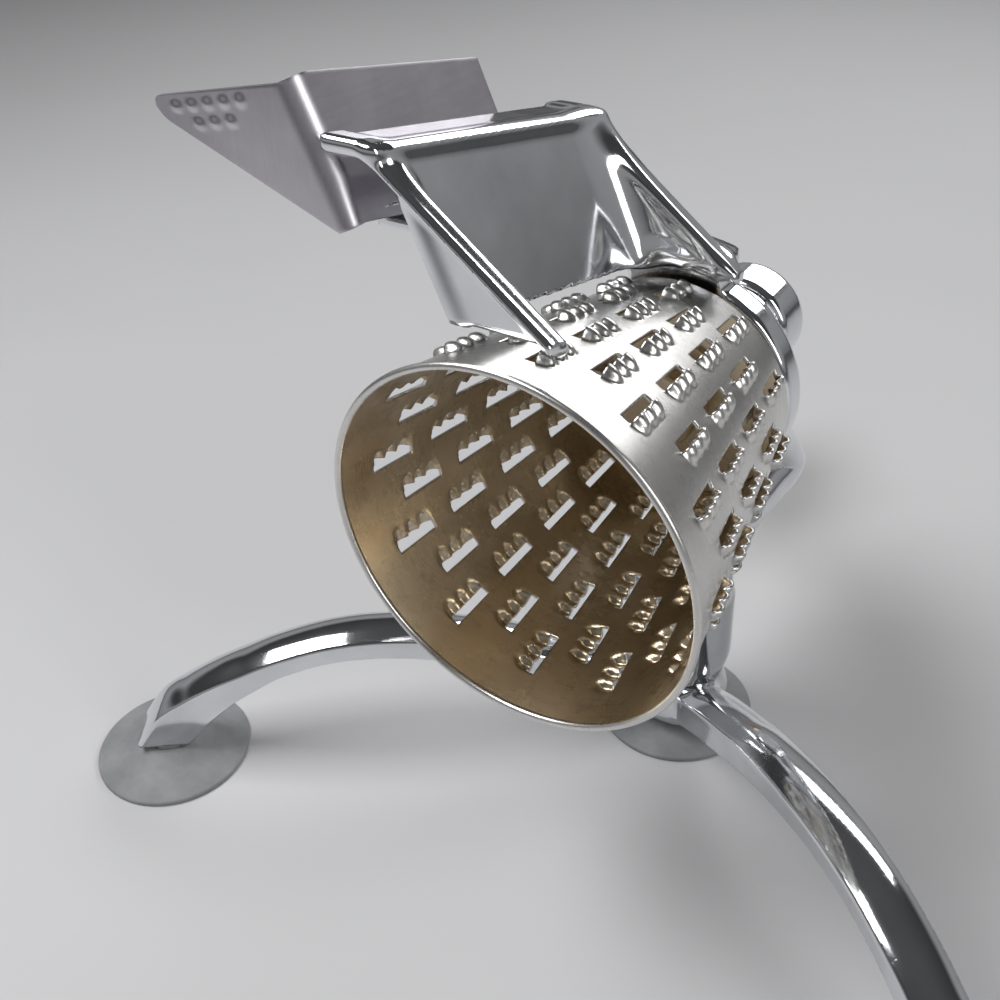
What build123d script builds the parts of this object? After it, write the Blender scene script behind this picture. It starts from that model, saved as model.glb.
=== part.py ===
from build123d import *
from math import atan2, cos, degrees, hypot, radians, sin, tan
import os

# A hand-cranked rotary shredder. Millimetres, +Z up, +X to the right as the open drum mouth is
# faced, +Y to the rear. The origin is on the table, at the centre of the machine's footprint.

# ---------------------------------------------------------------- clearances
shaft_fit = 0.05            # radial play of the shaft in its bushings and of the knob on its bolt
moving_gap = 0.35           # air between pieces that move past each other
slip_fit = 0.15             # radial air round screws, studs and pins in their holes

# ---------------------------------------------------------------- drum
axis_height = 138.5         # drum axis above the table
mouth_radius = 51.0         # outside of the wide open end
tail_radius = 33.8          # outside of the small end
drum_length = 88.0
sheet = 0.9                 # drum sheet
rim_bead_radius = 1.0       # rolled edge of the mouth
sector_count = 12           # each sector carries one row of four slots and one of three
first_sector_angle = 4.0    # from the top towards +X
slot_length = 13.0
slot_width = 3.0
slot_pitch = 20.2
slot_reach = 4.0            # depth of the slot cutter each side of the sheet
long_row_slots = 4
first_slot_long_row = 17.4  # from the mouth to the first slot's middle
first_slot_short_row = 25.4
tooth_height = 2.2
tooth_radius = 1.85
tooth_pitch = 4.2
teeth_per_slot = 3
tooth_run = 5.6             # from the cutting edge to where the rib fades out

# ---------------------------------------------------------------- drum back and drive
back_plate = 1.2
plate_inset = 0.6           # behind the plate, inside the drum's small end
hub_cap = 2.0
hub_cap_round = 1.6
cone_hub_radius = 12.0
cone_hub_length = 9.0
cone_hub_flange = 1.5
cone_hub_flange_radius = 18.0
cone_rivet_radius = 1.5
cone_rivet_circle = 15.0
cone_rivet_count = 3
rivet_start_angle = 30.0
rivet_head_radius = 2.6
rivet_head = 1.1
carrier_radius = 27.0
carrier_thickness = 4.0
drive_pin_radius = 2.5
drive_pin_circle = 22.0
drive_pin_count = 2
drive_pin_reach = 4.0       # how far a pin reaches past the back plate
nose_radius = 6.0           # shaft where the drum slides on
journal_radius = 5.0        # shaft in the bushings
spigot_radius = 4.0         # shaft in the crank's boss
spigot_flat = 1.2
thrust_washer = 1.0
thread_radius = 2.5
nose_chamfer = 0.8
nose_ring_setback = 3.0
nose_ring_width = 1.6
nose_ring_depth = 1.2

# ---------------------------------------------------------------- rear housing
bell_radius = 32.8
bell_rear = 101.0           # behind the mouth plane
bell_wall = 2.4
bell_well = 6.5             # depth of the recess that the carrier turns in
boss_radius = 15.6
boss_rear = 126.5
boss_blend = 12.0
blend_start = (0.55, -1)    # the blend's directions where it leaves the bell and meets the boss
blend_end = (1, -0.05)
bushing_wall = 1.8
bushing_length = 10.0
bushing_flange = 1.5
bushing_flange_wall = 2.2

# ---------------------------------------------------------------- post and neck
hub_setback = 99.0          # column axis behind the mouth plane
seam_height = 23.0          # top of the tripod hub
post_radius = 15.2
neck_half_width = 17.0
neck_head_half_width = 13.5  # at the boss
knee_cap = 7.0              # the knee's blunt end, past its corner
knee_round = 6.0
neck_half_depth = 11.0
post_top = 46.0
neck_level = 75.0           # height of the stretch that runs to the rear
knee_setback = 58.0         # rear corner of the neck behind the column axis
neck_head_setback = 12.0    # where the neck runs into the boss, behind the column axis
neck_head_drop = 8.0        # that place above the boss's underside
neck_bend = 16.0

# ---------------------------------------------------------------- tripod
leg_reach = 179.0           # column axis to a front foot's middle, in plan
leg_angle = 52.4            # each front leg from straight ahead
leg_width = 16.0
leg_corner = 4.2
hub_radius = 17.5
hub_floor = 9.5             # underside of the hub and of the leg ends
hub_skirt = 4.0             # upright edge of the hub
foot_radius = 26.5
foot_rim = 1.6
foot_boss_radius = 9.5
foot_height = 7.5
foot_shoulder_radius = 14.5
foot_shoulder = 4.9
head_room = 1.0             # space round a bolt head under a cup
cup_hollow = 3.2            # depth of the hollow under a suction cup
cup_lip = 3.5               # width of the ring that seals on the table
foot_washer_radius = 8.0
stud_radius = 2.5
stud_head_radius = 4.6
stud_head = 1.8
stud_depth = 6.5            # thread in a front leg's end
column_bolt_radius = 4.0
column_bolt_head_radius = 6.8
column_bolt_depth = 18.0    # thread in the post
column_washer_radius = 7.8

# ---------------------------------------------------------------- hopper
hopper_front = 8.0          # outer face of the front web, behind the mouth plane
hopper_rear = 87.0          # outer face of the rear web
hopper_wall = 2.6
rim_width = 3.8             # how far the rim stands out past the front and rear webs
rim_thickness = 3.0
hopper_drift_x = 0.066      # sideways and downward shift of the trough per millimetre to the rear
hopper_drift_z = -0.212
rim_tip_x = -43.5           # left end of the rim, from the drum axis
rim_tip_z = 92.8            # top of the rim there, above the drum axis
rim_bend_x = -34.0
rim_low_x = 12.0            # right end of the sloping rim
rim_low_z = 57.0
wall_lean = 22.7            # left wall from upright
wall_top_x = -32.0          # outer face of the left wall under the rim
drum_clearance = 6.6        # between the drum's small end and the root over it
root_angle_left = -30.0     # arc over which the rear web grows out of the bell
root_angle_right = 17.0
root_outer = 43.8
root_step = 4.0
root_inset = 3.0            # degrees inside the root's ends where the rear web stands
root_bite = 2.5             # how far the rear web runs into its root
front_web_floor = 55.0      # lower edge of the front web, above the drum axis
web_nose = 3.0

# ---------------------------------------------------------------- pusher
pusher_sheet = 1.2
pusher_length = 62.0
pusher_height = 22.5
pusher_lip = 11.0
pusher_lip_turn = 6.0       # the lower lip stands this much steeper than the plate
pusher_bend = 5.0
pusher_wing = 40.0
pusher_wing_tip = 4.6
pusher_wing_fall = 11.3     # top edge of the wing below level
pusher_wing_round = 2.0
pusher_standoff = 0.5       # air between the plate and the rim's edge
pusher_front = 4.0          # front edge behind the mouth plane
pusher_top = 105.0          # top edge at the front, above the drum axis
ledge_starts = (16.0, 52.0)  # front ends of the two ledges, behind the mouth plane
ledge_length = 9.0
ledge_lip = 3.0
ledge_thickness = 2.4

# ---------------------------------------------------------------- crank
crank_boss_radius = 16.7
crank_boss_length = 15.0
crank_boss_edge = 3.0
crank_radius = 92.0         # drum axis to knob axis
crank_angle = 60.0          # arm below horizontal, to the left, at rest
crank_sweep = 37.0          # how far the arm steps back to clear the neck
crank_sweep_start = 12.0
crank_sweep_end = 40.0
crank_root_width = 17.0
crank_tip_width = 13.0
crank_thickness = 5.0
crank_boss_room = 0.8       # air between the crank's boss and the neck
arm_heel = 2.0              # the arm's back corners, inwards of the front ones
boss_recess = 5.0
boss_cap_radius = 12.6
boss_cap_thickness = 1.6
boss_cap_crown = 1.0
shaft_nut_radius = 4.8
shaft_nut_height = 2.8
knob_nut_radius = 5.5
knob_nut_height = 3.0
knob_bolt_radius = 3.0
knob_bolt_head_radius = 5.0
knob_bolt_head = 3.0
knob_washer = 1.0
knob_washer_radius = 6.5
knob_length = 68.0
knob_collar_radius = 8.0
knob_belly_radius = 12.5
knob_waist_radius = 9.0
knob_end_radius = 11.0
knob_end_round = 3.5
knob_recess_depth = 6.0
knob_waist_share = 0.2      # shares of the knob's length
knob_belly_share = 0.62

# ---------------------------------------------------------------- places worked out from the sizes
bell_front = hopper_rear + rim_width
crank_boss_front = boss_rear + moving_gap
crank_boss_back = crank_boss_front + crank_boss_length
arm_front = crank_boss_back - crank_thickness - crank_boss_edge + crank_sweep
arm_back = arm_front + crank_thickness
knob_front = arm_back + knob_washer + moving_gap
knob_back = knob_front + knob_length
leg_turn = radians(leg_angle)
foot_x = leg_reach * sin(leg_turn)
foot_ahead = leg_reach * cos(leg_turn)
reach_ahead = foot_ahead + foot_radius
reach_behind = knob_back - hub_setback
hub_y = (reach_ahead - reach_behind) / 2
mouth_y = hub_y - hub_setback
drum_slope = (mouth_radius - tail_radius) / drum_length
drum_lean = degrees(atan2(mouth_radius - tail_radius, drum_length))
drum_axis = Axis((0, mouth_y, axis_height), (0, 1, 0))
foot_places = {
    "left": (-foot_x, hub_y - foot_ahead),
    "right": (foot_x, hub_y - foot_ahead),
    "rear": (0, hub_y),
}
bushing_radius = journal_radius + bushing_wall
bushing_flange_radius = bushing_radius + bushing_flange_wall
well_floor = bell_front + bell_well
carrier_back = well_floor - bushing_flange - moving_gap - thrust_washer
carrier_front = carrier_back - carrier_thickness
plate_back = drum_length - plate_inset
plate_front = plate_back - back_plate
hub_front = plate_front - cone_hub_length
nose_bore = nose_radius + shaft_fit
nose_front = hub_front + moving_gap
groove_front = nose_front + nose_ring_setback
nose_ring_inner = nose_radius - nose_ring_depth
spigot_front = crank_boss_front
spigot_back = crank_boss_back - boss_recess
shaft_back = spigot_back + shaft_nut_height
crank_step_front = crank_boss_back - crank_boss_edge - crank_thickness
bolt_back = knob_back - knob_recess_depth
knob_recess_radius = knob_bolt_head_radius + head_room
crank_turn = radians(crank_angle)
arm_ahead = (-cos(crank_turn), 0, -sin(crank_turn))
arm_side = Plane(
    origin=(0, mouth_y, axis_height),
    x_dir=(0, 1, 0),
    z_dir=(-sin(crank_turn), 0, cos(crank_turn)),
)
arm_face = Plane(origin=(0, mouth_y, axis_height), x_dir=arm_ahead, z_dir=(0, 1, 0))
sector_step = 360 / sector_count
sector_rows = (
    (first_sector_angle, first_slot_long_row, long_row_slots),
    (first_sector_angle + sector_step / 2, first_slot_short_row, long_row_slots - 1),
)
tooth_dive = atan2(tooth_height + tooth_run**2 / (2 * tail_radius), tooth_run)


def drum_radius(y):
    """Outside radius of the drum sheet, y behind the mouth."""
    return mouth_radius - drum_slope * y


def knob_place(y):
    """Point on the knob's axis, y behind the mouth."""
    return (crank_radius * arm_ahead[0], mouth_y + y, axis_height + crank_radius * arm_ahead[2])


knob_side = Plane(origin=knob_place(0), x_dir=(0, 1, 0), z_dir=(1, 0, 0))
knob_axis = Axis(knob_place(0), (0, 1, 0))


def cutting_plane(along, angle, dive=0.0):
    """Plane across the drum sheet at a cutting edge: x along the sheet, y outwards."""
    turn = radians(angle)
    lean_in = radians(drum_lean)
    outward = Vector(sin(turn), 0, cos(turn))
    across = Vector(cos(turn), 0, -sin(turn))
    rearward = Vector(0, 1, 0)
    along_sheet = rearward * cos(lean_in) - outward * sin(lean_in)
    off_sheet = outward * cos(lean_in) + rearward * sin(lean_in)
    place = Vector(0, mouth_y + along, axis_height) + outward * drum_radius(along)
    return Plane(origin=place, x_dir=along_sheet, z_dir=across * cos(dive) - off_sheet * sin(dive))


def profile_plane():
    """Plane through the drum axis: x runs to the rear, y runs up."""
    return Plane(origin=(0, mouth_y, axis_height), x_dir=(0, 1, 0), z_dir=(1, 0, 0))


def cross_plane(y):
    """Upright plane facing the front, y behind the mouth: x to the right, y up, from the drum axis."""
    return Plane(origin=(0, mouth_y + y, axis_height), x_dir=(1, 0, 0), z_dir=(0, -1, 0))


def rear_plane(y, rise=0.0):
    """Upright plane facing the rear, y behind the mouth: extrusions grow to the rear."""
    return Plane(origin=(0, mouth_y + y, axis_height + rise), x_dir=(1, 0, 0), z_dir=(0, 1, 0))


def table_plane(x, y, z):
    """Level plane at height z."""
    return Plane(origin=(x, y, z), x_dir=(1, 0, 0), z_dir=(0, 0, 1))


def ring(start, end, outer, inner, mode=Mode.ADD):
    """Profile of a turned ring on a profile plane, from start to end behind the mouth."""
    with Locations(((start + end) / 2, (outer + inner) / 2)):
        Rectangle(end - start, outer - inner, mode=mode)


os.makedirs("parts", exist_ok=True)


def finish(piece, name):
    """Labels a finished piece and writes it."""
    piece.part.label = name
    export_step(piece.part, f"parts/{name}.step")


# ================================================================ feet
def foot_side(x, y):
    """Upright plane through a foot's middle: x runs outwards, y runs up from the table."""
    return Plane(origin=(x, y, 0), x_dir=(1, 0, 0), z_dir=(0, -1, 0))


foot_bolts = {
    "left": (stud_radius, stud_head_radius),
    "right": (stud_radius, stud_head_radius),
    "rear": (column_bolt_radius, column_bolt_head_radius),
}

for side, (x, y) in foot_places.items():
    bolt_radius, head_radius = foot_bolts[side]
    with BuildPart() as foot_cup:
        with BuildSketch(foot_side(x, y)):
            with BuildLine():
                Polyline(
                    (head_radius + head_room, cup_hollow),
                    (foot_boss_radius, cup_hollow),
                    (foot_radius - cup_lip, 0),
                    (foot_radius, 0),
                    (foot_radius, foot_rim),
                    (foot_shoulder_radius, foot_shoulder),
                    (foot_boss_radius, foot_height),
                    (bolt_radius + slip_fit, foot_height),
                    (bolt_radius + slip_fit, cup_hollow + stud_head),
                    (head_radius + head_room, cup_hollow + stud_head),
                    close=True,
                )
            make_face()
        revolve(axis=Axis((x, y, 0), (0, 0, 1)))
    finish(foot_cup, f"foot_cup_{side}")

with BuildPart() as foot_studs:
    for side in ("left", "right"):
        x, y = foot_places[side]
        with BuildSketch(table_plane(x, y, cup_hollow)):
            Circle(stud_head_radius)
        extrude(amount=stud_head)
        with BuildSketch(table_plane(x, y, cup_hollow)):
            Circle(stud_radius)
        extrude(amount=hub_floor - cup_hollow + stud_depth)
finish(foot_studs, "foot_studs")

with BuildPart() as foot_washers:
    for side in ("left", "right"):
        x, y = foot_places[side]
        with BuildSketch(table_plane(x, y, foot_height)):
            Circle(foot_washer_radius)
            Circle(stud_radius + slip_fit, mode=Mode.SUBTRACT)
        extrude(amount=hub_floor - foot_height)
finish(foot_washers, "foot_washers")

with BuildPart() as column_washer:
    with BuildSketch(table_plane(0, hub_y, foot_height)):
        Circle(column_washer_radius)
        Circle(column_bolt_radius + slip_fit, mode=Mode.SUBTRACT)
    extrude(amount=hub_floor - foot_height)
finish(column_washer, "column_washer")

with BuildPart() as column_bolt:
    with BuildSketch(table_plane(0, hub_y, cup_hollow)):
        Circle(column_bolt_head_radius)
    extrude(amount=stud_head)
    with BuildSketch(table_plane(0, hub_y, cup_hollow)):
        Circle(column_bolt_radius)
    extrude(amount=seam_height - cup_hollow + column_bolt_depth)
finish(column_bolt, "column_bolt")

# ================================================================ tripod base
# distance from the column axis, height, heading above level and depth of the leg's middle line
leg_stations = (
    (8.0, 14.0, 36.0, 11.0),
    (30.0, 24.5, 32.0, 12.5),
    (60.0, 37.8, 20.0, 11.5),
    (100.0, 46.8, 3.0, 9.6),
    (135.0, 41.8, -17.0, 8.8),
    (158.0, 30.4, -34.0, 12.5),
    (173.0, 18.6, -50.0, 17.0),
    (184.0, 6.0, -64.0, 19.0),
)


def leg_plane(distance, height, heading):
    """Plane square to the left leg's middle line."""
    ahead = Vector(-sin(leg_turn), -cos(leg_turn), 0)
    tangent = ahead * cos(radians(heading)) + Vector(0, 0, sin(radians(heading)))
    place = Vector(0, hub_y, height) + ahead * distance
    return Plane(origin=place, x_dir=Vector(0, 0, 1).cross(ahead), z_dir=tangent)


with BuildPart() as tripod_base:
    for distance, height, heading, depth in leg_stations:
        with BuildSketch(leg_plane(distance, height, heading)):
            RectangleRounded(leg_width, depth, leg_corner)
    loft()
    mirror(about=Plane.YZ)
    with BuildSketch(foot_side(0, hub_y)):
        with BuildLine():
            Polyline(
                (0, hub_floor),
                (hub_radius, hub_floor),
                (hub_radius, hub_floor + hub_skirt),
                (post_radius, seam_height),
                (0, seam_height),
                close=True,
            )
        make_face()
    revolve(axis=Axis((0, hub_y, 0), (0, 0, 1)))
    with BuildSketch(table_plane(0, hub_y, -leg_reach)):
        Rectangle(2 * (leg_reach + foot_radius), 2 * (leg_reach + foot_radius))
    extrude(amount=leg_reach + hub_floor, mode=Mode.SUBTRACT)
    with BuildSketch(table_plane(0, hub_y, seam_height)):
        Circle(post_radius)
    extrude(amount=post_top - seam_height, mode=Mode.SUBTRACT)
    with BuildSketch(table_plane(0, hub_y, hub_floor)):
        Circle(column_bolt_radius + slip_fit)
    extrude(amount=seam_height - hub_floor, mode=Mode.SUBTRACT)
    for side in ("left", "right"):
        x, y = foot_places[side]
        with BuildSketch(table_plane(x, y, hub_floor)):
            Circle(stud_radius)
        extrude(amount=stud_depth, mode=Mode.SUBTRACT)
finish(tripod_base, "tripod_base")

# ================================================================ head casting
bend_height = neck_level - neck_bend
knee_y = hub_setback + knee_setback
head_y = hub_setback + neck_head_setback
knee_drop = neck_level - axis_height
head_drop = neck_head_drop - boss_radius
climb = hypot(knee_y - head_y, head_drop - knee_drop)
rise_plane = Plane(
    origin=(0, mouth_y + knee_y, neck_level),
    x_dir=(1, 0, 0),
    z_dir=(0, (head_y - knee_y) / climb, (head_drop - knee_drop) / climb),
)
drift = Vector(hopper_drift_x, 1, hopper_drift_z)
lean = radians(wall_lean)


def drift_run(depth):
    """Length along the trough's own direction for a depth to the rear."""
    return depth * drift.length


def rim_point(share):
    """Point on the sloping rim, from its bend (0) to its low end (1)."""
    return (
        rim_bend_x + share * (rim_low_x - rim_bend_x),
        rim_tip_z + share * (rim_low_z - rim_tip_z),
    )


def shifted(point, depth):
    """A point of the front section, carried to the rear along the trough."""
    return (point[0] + hopper_drift_x * depth, point[1] + hopper_drift_z * depth)


def wall_x(z):
    """Outer face of the left wall at the front, z above the drum axis."""
    return wall_top_x + (rim_tip_z - z) * tan(lean)


def polar_point(radius, angle):
    """Point at a radius from the drum axis, angle from the top towards +X."""
    return (radius * sin(radians(angle)), radius * cos(radians(angle)))


def radial_plane(angle):
    """Plane through the drum axis, turned from the top towards +X: x to the rear, y outwards."""
    turn = radians(angle)
    return Plane(origin=(0, mouth_y, axis_height), x_dir=(0, 1, 0), z_dir=(cos(turn), 0, -sin(turn)))


rim_fall = (rim_tip_z - rim_low_z) / (rim_low_x - rim_bend_x)
wall_head_drop = (rim_thickness / 2 + rim_fall * (wall_top_x - rim_bend_x)) / (1 - rim_fall * tan(lean))
wall_head = (wall_x(rim_tip_z - wall_head_drop), rim_tip_z - wall_head_drop)
wall_across = hopper_wall / cos(lean)
rim_outline = (
    (rim_tip_x, rim_tip_z),
    (rim_bend_x, rim_tip_z),
    (rim_low_x, rim_low_z),
    (rim_low_x, rim_low_z - rim_thickness),
    (rim_bend_x, rim_tip_z - rim_thickness),
    (rim_tip_x, rim_tip_z - rim_thickness),
)
rail_depth = rim_width + hopper_wall
web_depth = hopper_rear - hopper_front
front_web_outline = (
    (wall_x(front_web_floor), front_web_floor),
    wall_head,
    (rim_low_x, rim_low_z - rim_thickness / 2),
    (rim_low_x - web_nose, front_web_floor),
)
rear_web_outline = (
    shifted(wall_head, web_depth),
    shifted((rim_low_x, rim_low_z - rim_thickness / 2), web_depth),
    polar_point(root_outer - root_bite, root_angle_right - root_inset),
    (0, root_outer - root_bite),
    polar_point(root_outer - root_bite, root_angle_left + root_inset),
)

plate_up = Vector(-sin(lean), cos(lean))
plate_out = Vector(-cos(lean), -sin(lean))
lip_lean = lean - radians(pusher_lip_turn)
lip_up = Vector(-sin(lip_lean), cos(lip_lean))
lip_out = Vector(-cos(lip_lean), -sin(lip_lean))
rim_lip_z = rim_tip_z - rim_thickness
plate_top_x = rim_tip_x - pusher_standoff / cos(lean) - (pusher_top - rim_lip_z) * tan(lean)
plate_start = pusher_front + pusher_bend
plate_top = Vector(*shifted((plate_top_x, pusher_top), plate_start - hopper_front))
plate_crease = plate_top - plate_up * pusher_height
plate_foot = plate_crease - lip_up * pusher_lip
pusher_section = (
    plate_top,
    plate_crease,
    plate_foot,
    plate_foot + lip_out * pusher_sheet,
    plate_crease + plate_out * pusher_sheet,
    plate_top + plate_out * pusher_sheet,
)
pusher_bend_run = pusher_height + pusher_lip
bend_foot = plate_top - plate_up * pusher_bend_run
bend_plane = Plane(
    origin=(bend_foot.X, mouth_y + plate_start, axis_height + bend_foot.Y),
    x_dir=(cos(lean), 0, sin(lean)),
    z_dir=(-sin(lean), 0, cos(lean)),
)
wing_root_top = plate_top + plate_out * pusher_bend
wing_root_foot = bend_foot + plate_out * pusher_bend
wing_fall = radians(pusher_wing_fall)
wing_tip = wing_root_top - Vector(cos(wing_fall), sin(wing_fall)) * pusher_wing
wing_outline = (wing_root_top, wing_tip, wing_tip - Vector(0, pusher_wing_tip), wing_root_foot)
foot_left = shifted(tuple(plate_foot + lip_out * pusher_sheet), hopper_front - plate_start)
ledge_top = foot_left[1] - moving_gap
ledge_stop = foot_left[0] - ledge_lip * tan(lean) - moving_gap
ledge_root = wall_x(ledge_top) + hopper_wall / 2
ledge_outline = (
    (ledge_root, ledge_top),
    (ledge_stop, ledge_top),
    (ledge_stop, ledge_top + ledge_lip),
    (ledge_stop - ledge_thickness, ledge_top + ledge_lip),
    (ledge_stop - ledge_thickness, ledge_top - ledge_thickness),
    (ledge_root, ledge_top - ledge_thickness),
)

with BuildPart() as head_casting:
    # post, from the seam up to the bend
    with BuildSketch(table_plane(0, hub_y, seam_height)):
        Circle(post_radius)
    extrude(amount=post_top - seam_height)
    with BuildSketch(table_plane(0, hub_y, post_top)):
        Circle(post_radius)
    with BuildSketch(table_plane(0, hub_y, bend_height)):
        Ellipse(neck_half_width, neck_half_depth)
    loft()
    # bend to the rear, level run, rounded knee and the run up to the boss
    with BuildSketch(table_plane(0, hub_y, bend_height)):
        Ellipse(neck_half_width, neck_half_depth)
    revolve(axis=Axis((0, hub_y + neck_bend, bend_height), (-1, 0, 0)), revolution_arc=90)
    with BuildSketch(rear_plane(hub_setback + neck_bend, knee_drop)):
        Ellipse(neck_half_width, neck_half_depth)
    extrude(amount=knee_setback - neck_bend + knee_cap)
    fillet(head_casting.edges().sort_by(Axis.Y)[-1], knee_round)
    with BuildSketch(rise_plane):
        Ellipse(neck_half_width, neck_half_depth)
    with BuildSketch(rise_plane.offset(climb)):
        Ellipse(neck_head_half_width, neck_half_depth)
    loft()
    # bell and boss
    with BuildSketch(profile_plane()):
        with BuildLine():
            Polyline((bell_front, 0), (bell_front, bell_radius), (bell_rear, bell_radius))
            Spline(
                (bell_rear, bell_radius),
                (bell_rear + boss_blend, boss_radius),
                tangents=(blend_start, blend_end),
            )
            Polyline((bell_rear + boss_blend, boss_radius), (boss_rear, boss_radius), (boss_rear, 0))
            Line((boss_rear, 0), (bell_front, 0))
        make_face()
    revolve(axis=drum_axis)
    # shoulder on the bell that the hopper's root stands on
    with BuildSketch(radial_plane(root_angle_left)):
        with BuildLine():
            Polyline(
                (bell_front, bell_radius - bell_wall),
                (bell_rear, bell_radius - bell_wall),
                (bell_rear, bell_radius + root_step),
                (bell_rear - root_step, root_outer),
                (bell_front, root_outer),
                close=True,
            )
        make_face()
    revolve(axis=drum_axis, revolution_arc=root_angle_right - root_angle_left)
    # recess for the carrier, bushing seats and the thread for the column bolt
    with BuildSketch(profile_plane()):
        ring(bell_front, well_floor, bell_radius - bell_wall, 0)
        ring(well_floor, boss_rear, bushing_radius, 0)
        ring(boss_rear - bushing_flange, boss_rear, bushing_flange_radius, 0)
        ring(boss_rear, crank_boss_back, crank_boss_radius + crank_boss_room, 0)
    revolve(axis=drum_axis, mode=Mode.SUBTRACT)
    with BuildSketch(table_plane(0, hub_y, seam_height)):
        Circle(column_bolt_radius)
    extrude(amount=column_bolt_depth, mode=Mode.SUBTRACT)
finish(head_casting, "head_casting")

# ================================================================ hopper casting
with BuildPart() as hopper_casting:
    # root over the drum's small end
    with BuildSketch(radial_plane(root_angle_left)):
        ring(hopper_rear - hopper_wall, bell_front, root_outer, tail_radius + drum_clearance)
    revolve(axis=drum_axis, revolution_arc=root_angle_right - root_angle_left)
    # front and rear webs
    with BuildSketch(cross_plane(hopper_front)):
        with BuildLine():
            Polyline(*front_web_outline, close=True)
        make_face()
    extrude(amount=-hopper_wall)
    with BuildSketch(cross_plane(hopper_rear)):
        with BuildLine():
            Polyline(*rear_web_outline, close=True)
        make_face()
    extrude(amount=hopper_wall)
    # leaning left wall
    with BuildSketch(cross_plane(hopper_front)):
        with BuildLine():
            Polyline(
                (wall_x(front_web_floor), front_web_floor),
                (wall_x(rim_tip_z), rim_tip_z),
                (wall_x(rim_tip_z) + wall_across, rim_tip_z),
                (wall_x(front_web_floor) + wall_across, front_web_floor),
                close=True,
            )
        make_face()
    extrude(amount=drift_run(web_depth), dir=drift)
    # rim: front rail, rear rail and the band over the left wall
    for start in (hopper_front - rim_width, hopper_rear - hopper_wall):
        with BuildSketch(cross_plane(start)):
            with BuildLine():
                Polyline(*[shifted(point, start - hopper_front) for point in rim_outline], close=True)
            make_face()
        extrude(amount=drift_run(rail_depth), dir=drift)
    with BuildSketch(cross_plane(hopper_front - rim_width)):
        with BuildLine():
            band = (
                (rim_tip_x, rim_tip_z),
                (wall_x(rim_tip_z) + wall_across, rim_tip_z),
                (wall_x(rim_tip_z) + wall_across, rim_tip_z - rim_thickness),
                (rim_tip_x, rim_tip_z - rim_thickness),
            )
            Polyline(*[shifted(point, -rim_width) for point in band], close=True)
        make_face()
    extrude(amount=drift_run(web_depth + 2 * rim_width), dir=drift)
    # ledges under the pusher's lip
    for start in ledge_starts:
        with BuildSketch(cross_plane(start)):
            with BuildLine():
                Polyline(*[shifted(point, start - hopper_front) for point in ledge_outline], close=True)
            make_face()
        extrude(amount=drift_run(ledge_length), dir=drift)
finish(hopper_casting, "hopper_casting")

# ================================================================ bushings, shaft and carrier
with BuildPart() as front_bushing:
    with BuildSketch(profile_plane()):
        ring(well_floor, well_floor + bushing_length, bushing_radius, journal_radius + shaft_fit)
        ring(well_floor - bushing_flange, well_floor, bushing_flange_radius, journal_radius + shaft_fit)
    revolve(axis=drum_axis)
finish(front_bushing, "front_bushing")

with BuildPart() as rear_bushing:
    with BuildSketch(profile_plane()):
        ring(boss_rear - bushing_length, boss_rear - bushing_flange, bushing_radius, journal_radius + shaft_fit)
        ring(boss_rear - bushing_flange, boss_rear, bushing_flange_radius, journal_radius + shaft_fit)
    revolve(axis=drum_axis)
finish(rear_bushing, "rear_bushing")

with BuildPart() as drive_shaft:
    with BuildSketch(profile_plane()):
        ring(nose_front + nose_chamfer, carrier_front, nose_radius, 0)
        ring(nose_front, nose_front + nose_chamfer, nose_radius - nose_chamfer, 0)
        ring(carrier_front, spigot_front, journal_radius, 0)
        ring(spigot_back, shaft_back, thread_radius, 0)
        ring(groove_front, groove_front + nose_ring_width, nose_radius, nose_ring_inner, mode=Mode.SUBTRACT)
    revolve(axis=drum_axis)
    with BuildSketch(rear_plane(spigot_front)):
        Circle(spigot_radius)
        with Locations((0, 2 * spigot_radius - spigot_flat)):
            Rectangle(2 * spigot_radius, 2 * spigot_radius, mode=Mode.SUBTRACT)
    extrude(amount=spigot_back - spigot_front)
finish(drive_shaft, "drive_shaft")

with BuildPart() as nose_ring:
    with BuildSketch(profile_plane()):
        ring(groove_front, groove_front + nose_ring_width, nose_radius, nose_ring_inner)
    revolve(axis=drum_axis)
finish(nose_ring, "nose_ring")

with BuildPart() as drive_carrier:
    with BuildSketch(profile_plane()):
        ring(carrier_front, carrier_back, carrier_radius, journal_radius)
    revolve(axis=drum_axis)
    with BuildSketch(rear_plane(carrier_front)):
        with PolarLocations(drive_pin_circle, drive_pin_count):
            Circle(drive_pin_radius)
    extrude(amount=carrier_thickness, mode=Mode.SUBTRACT)
finish(drive_carrier, "drive_carrier")

with BuildPart() as drive_pins:
    with BuildSketch(rear_plane(plate_front - drive_pin_reach)):
        with PolarLocations(drive_pin_circle, drive_pin_count):
            Circle(drive_pin_radius)
    extrude(amount=carrier_back - plate_front + drive_pin_reach)
finish(drive_pins, "drive_pins")

with BuildPart() as carrier_washer:
    with BuildSketch(profile_plane()):
        ring(carrier_back, carrier_back + thrust_washer, bushing_flange_radius, journal_radius)
    revolve(axis=drum_axis)
finish(carrier_washer, "carrier_washer")

# ================================================================ drum
with BuildPart() as tooth_sector:
    for row_angle, first, count in sector_rows:
        for index in range(count):
            along = first + index * slot_pitch
            with BuildSketch(cutting_plane(along, row_angle, tooth_dive)):
                with Locations((0, tooth_height - tooth_radius)):
                    with GridLocations(tooth_pitch, tooth_pitch, teeth_per_slot, 1):
                        Circle(tooth_radius)
            extrude(amount=tooth_run / cos(tooth_dive))

with BuildPart() as slot_sector:
    for row_angle, first, count in sector_rows:
        for index in range(count):
            along = first + index * slot_pitch
            with BuildSketch(cutting_plane(along, row_angle).offset(-slot_width)):
                Rectangle(slot_length, 2 * slot_reach)
            extrude(amount=slot_width)

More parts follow.
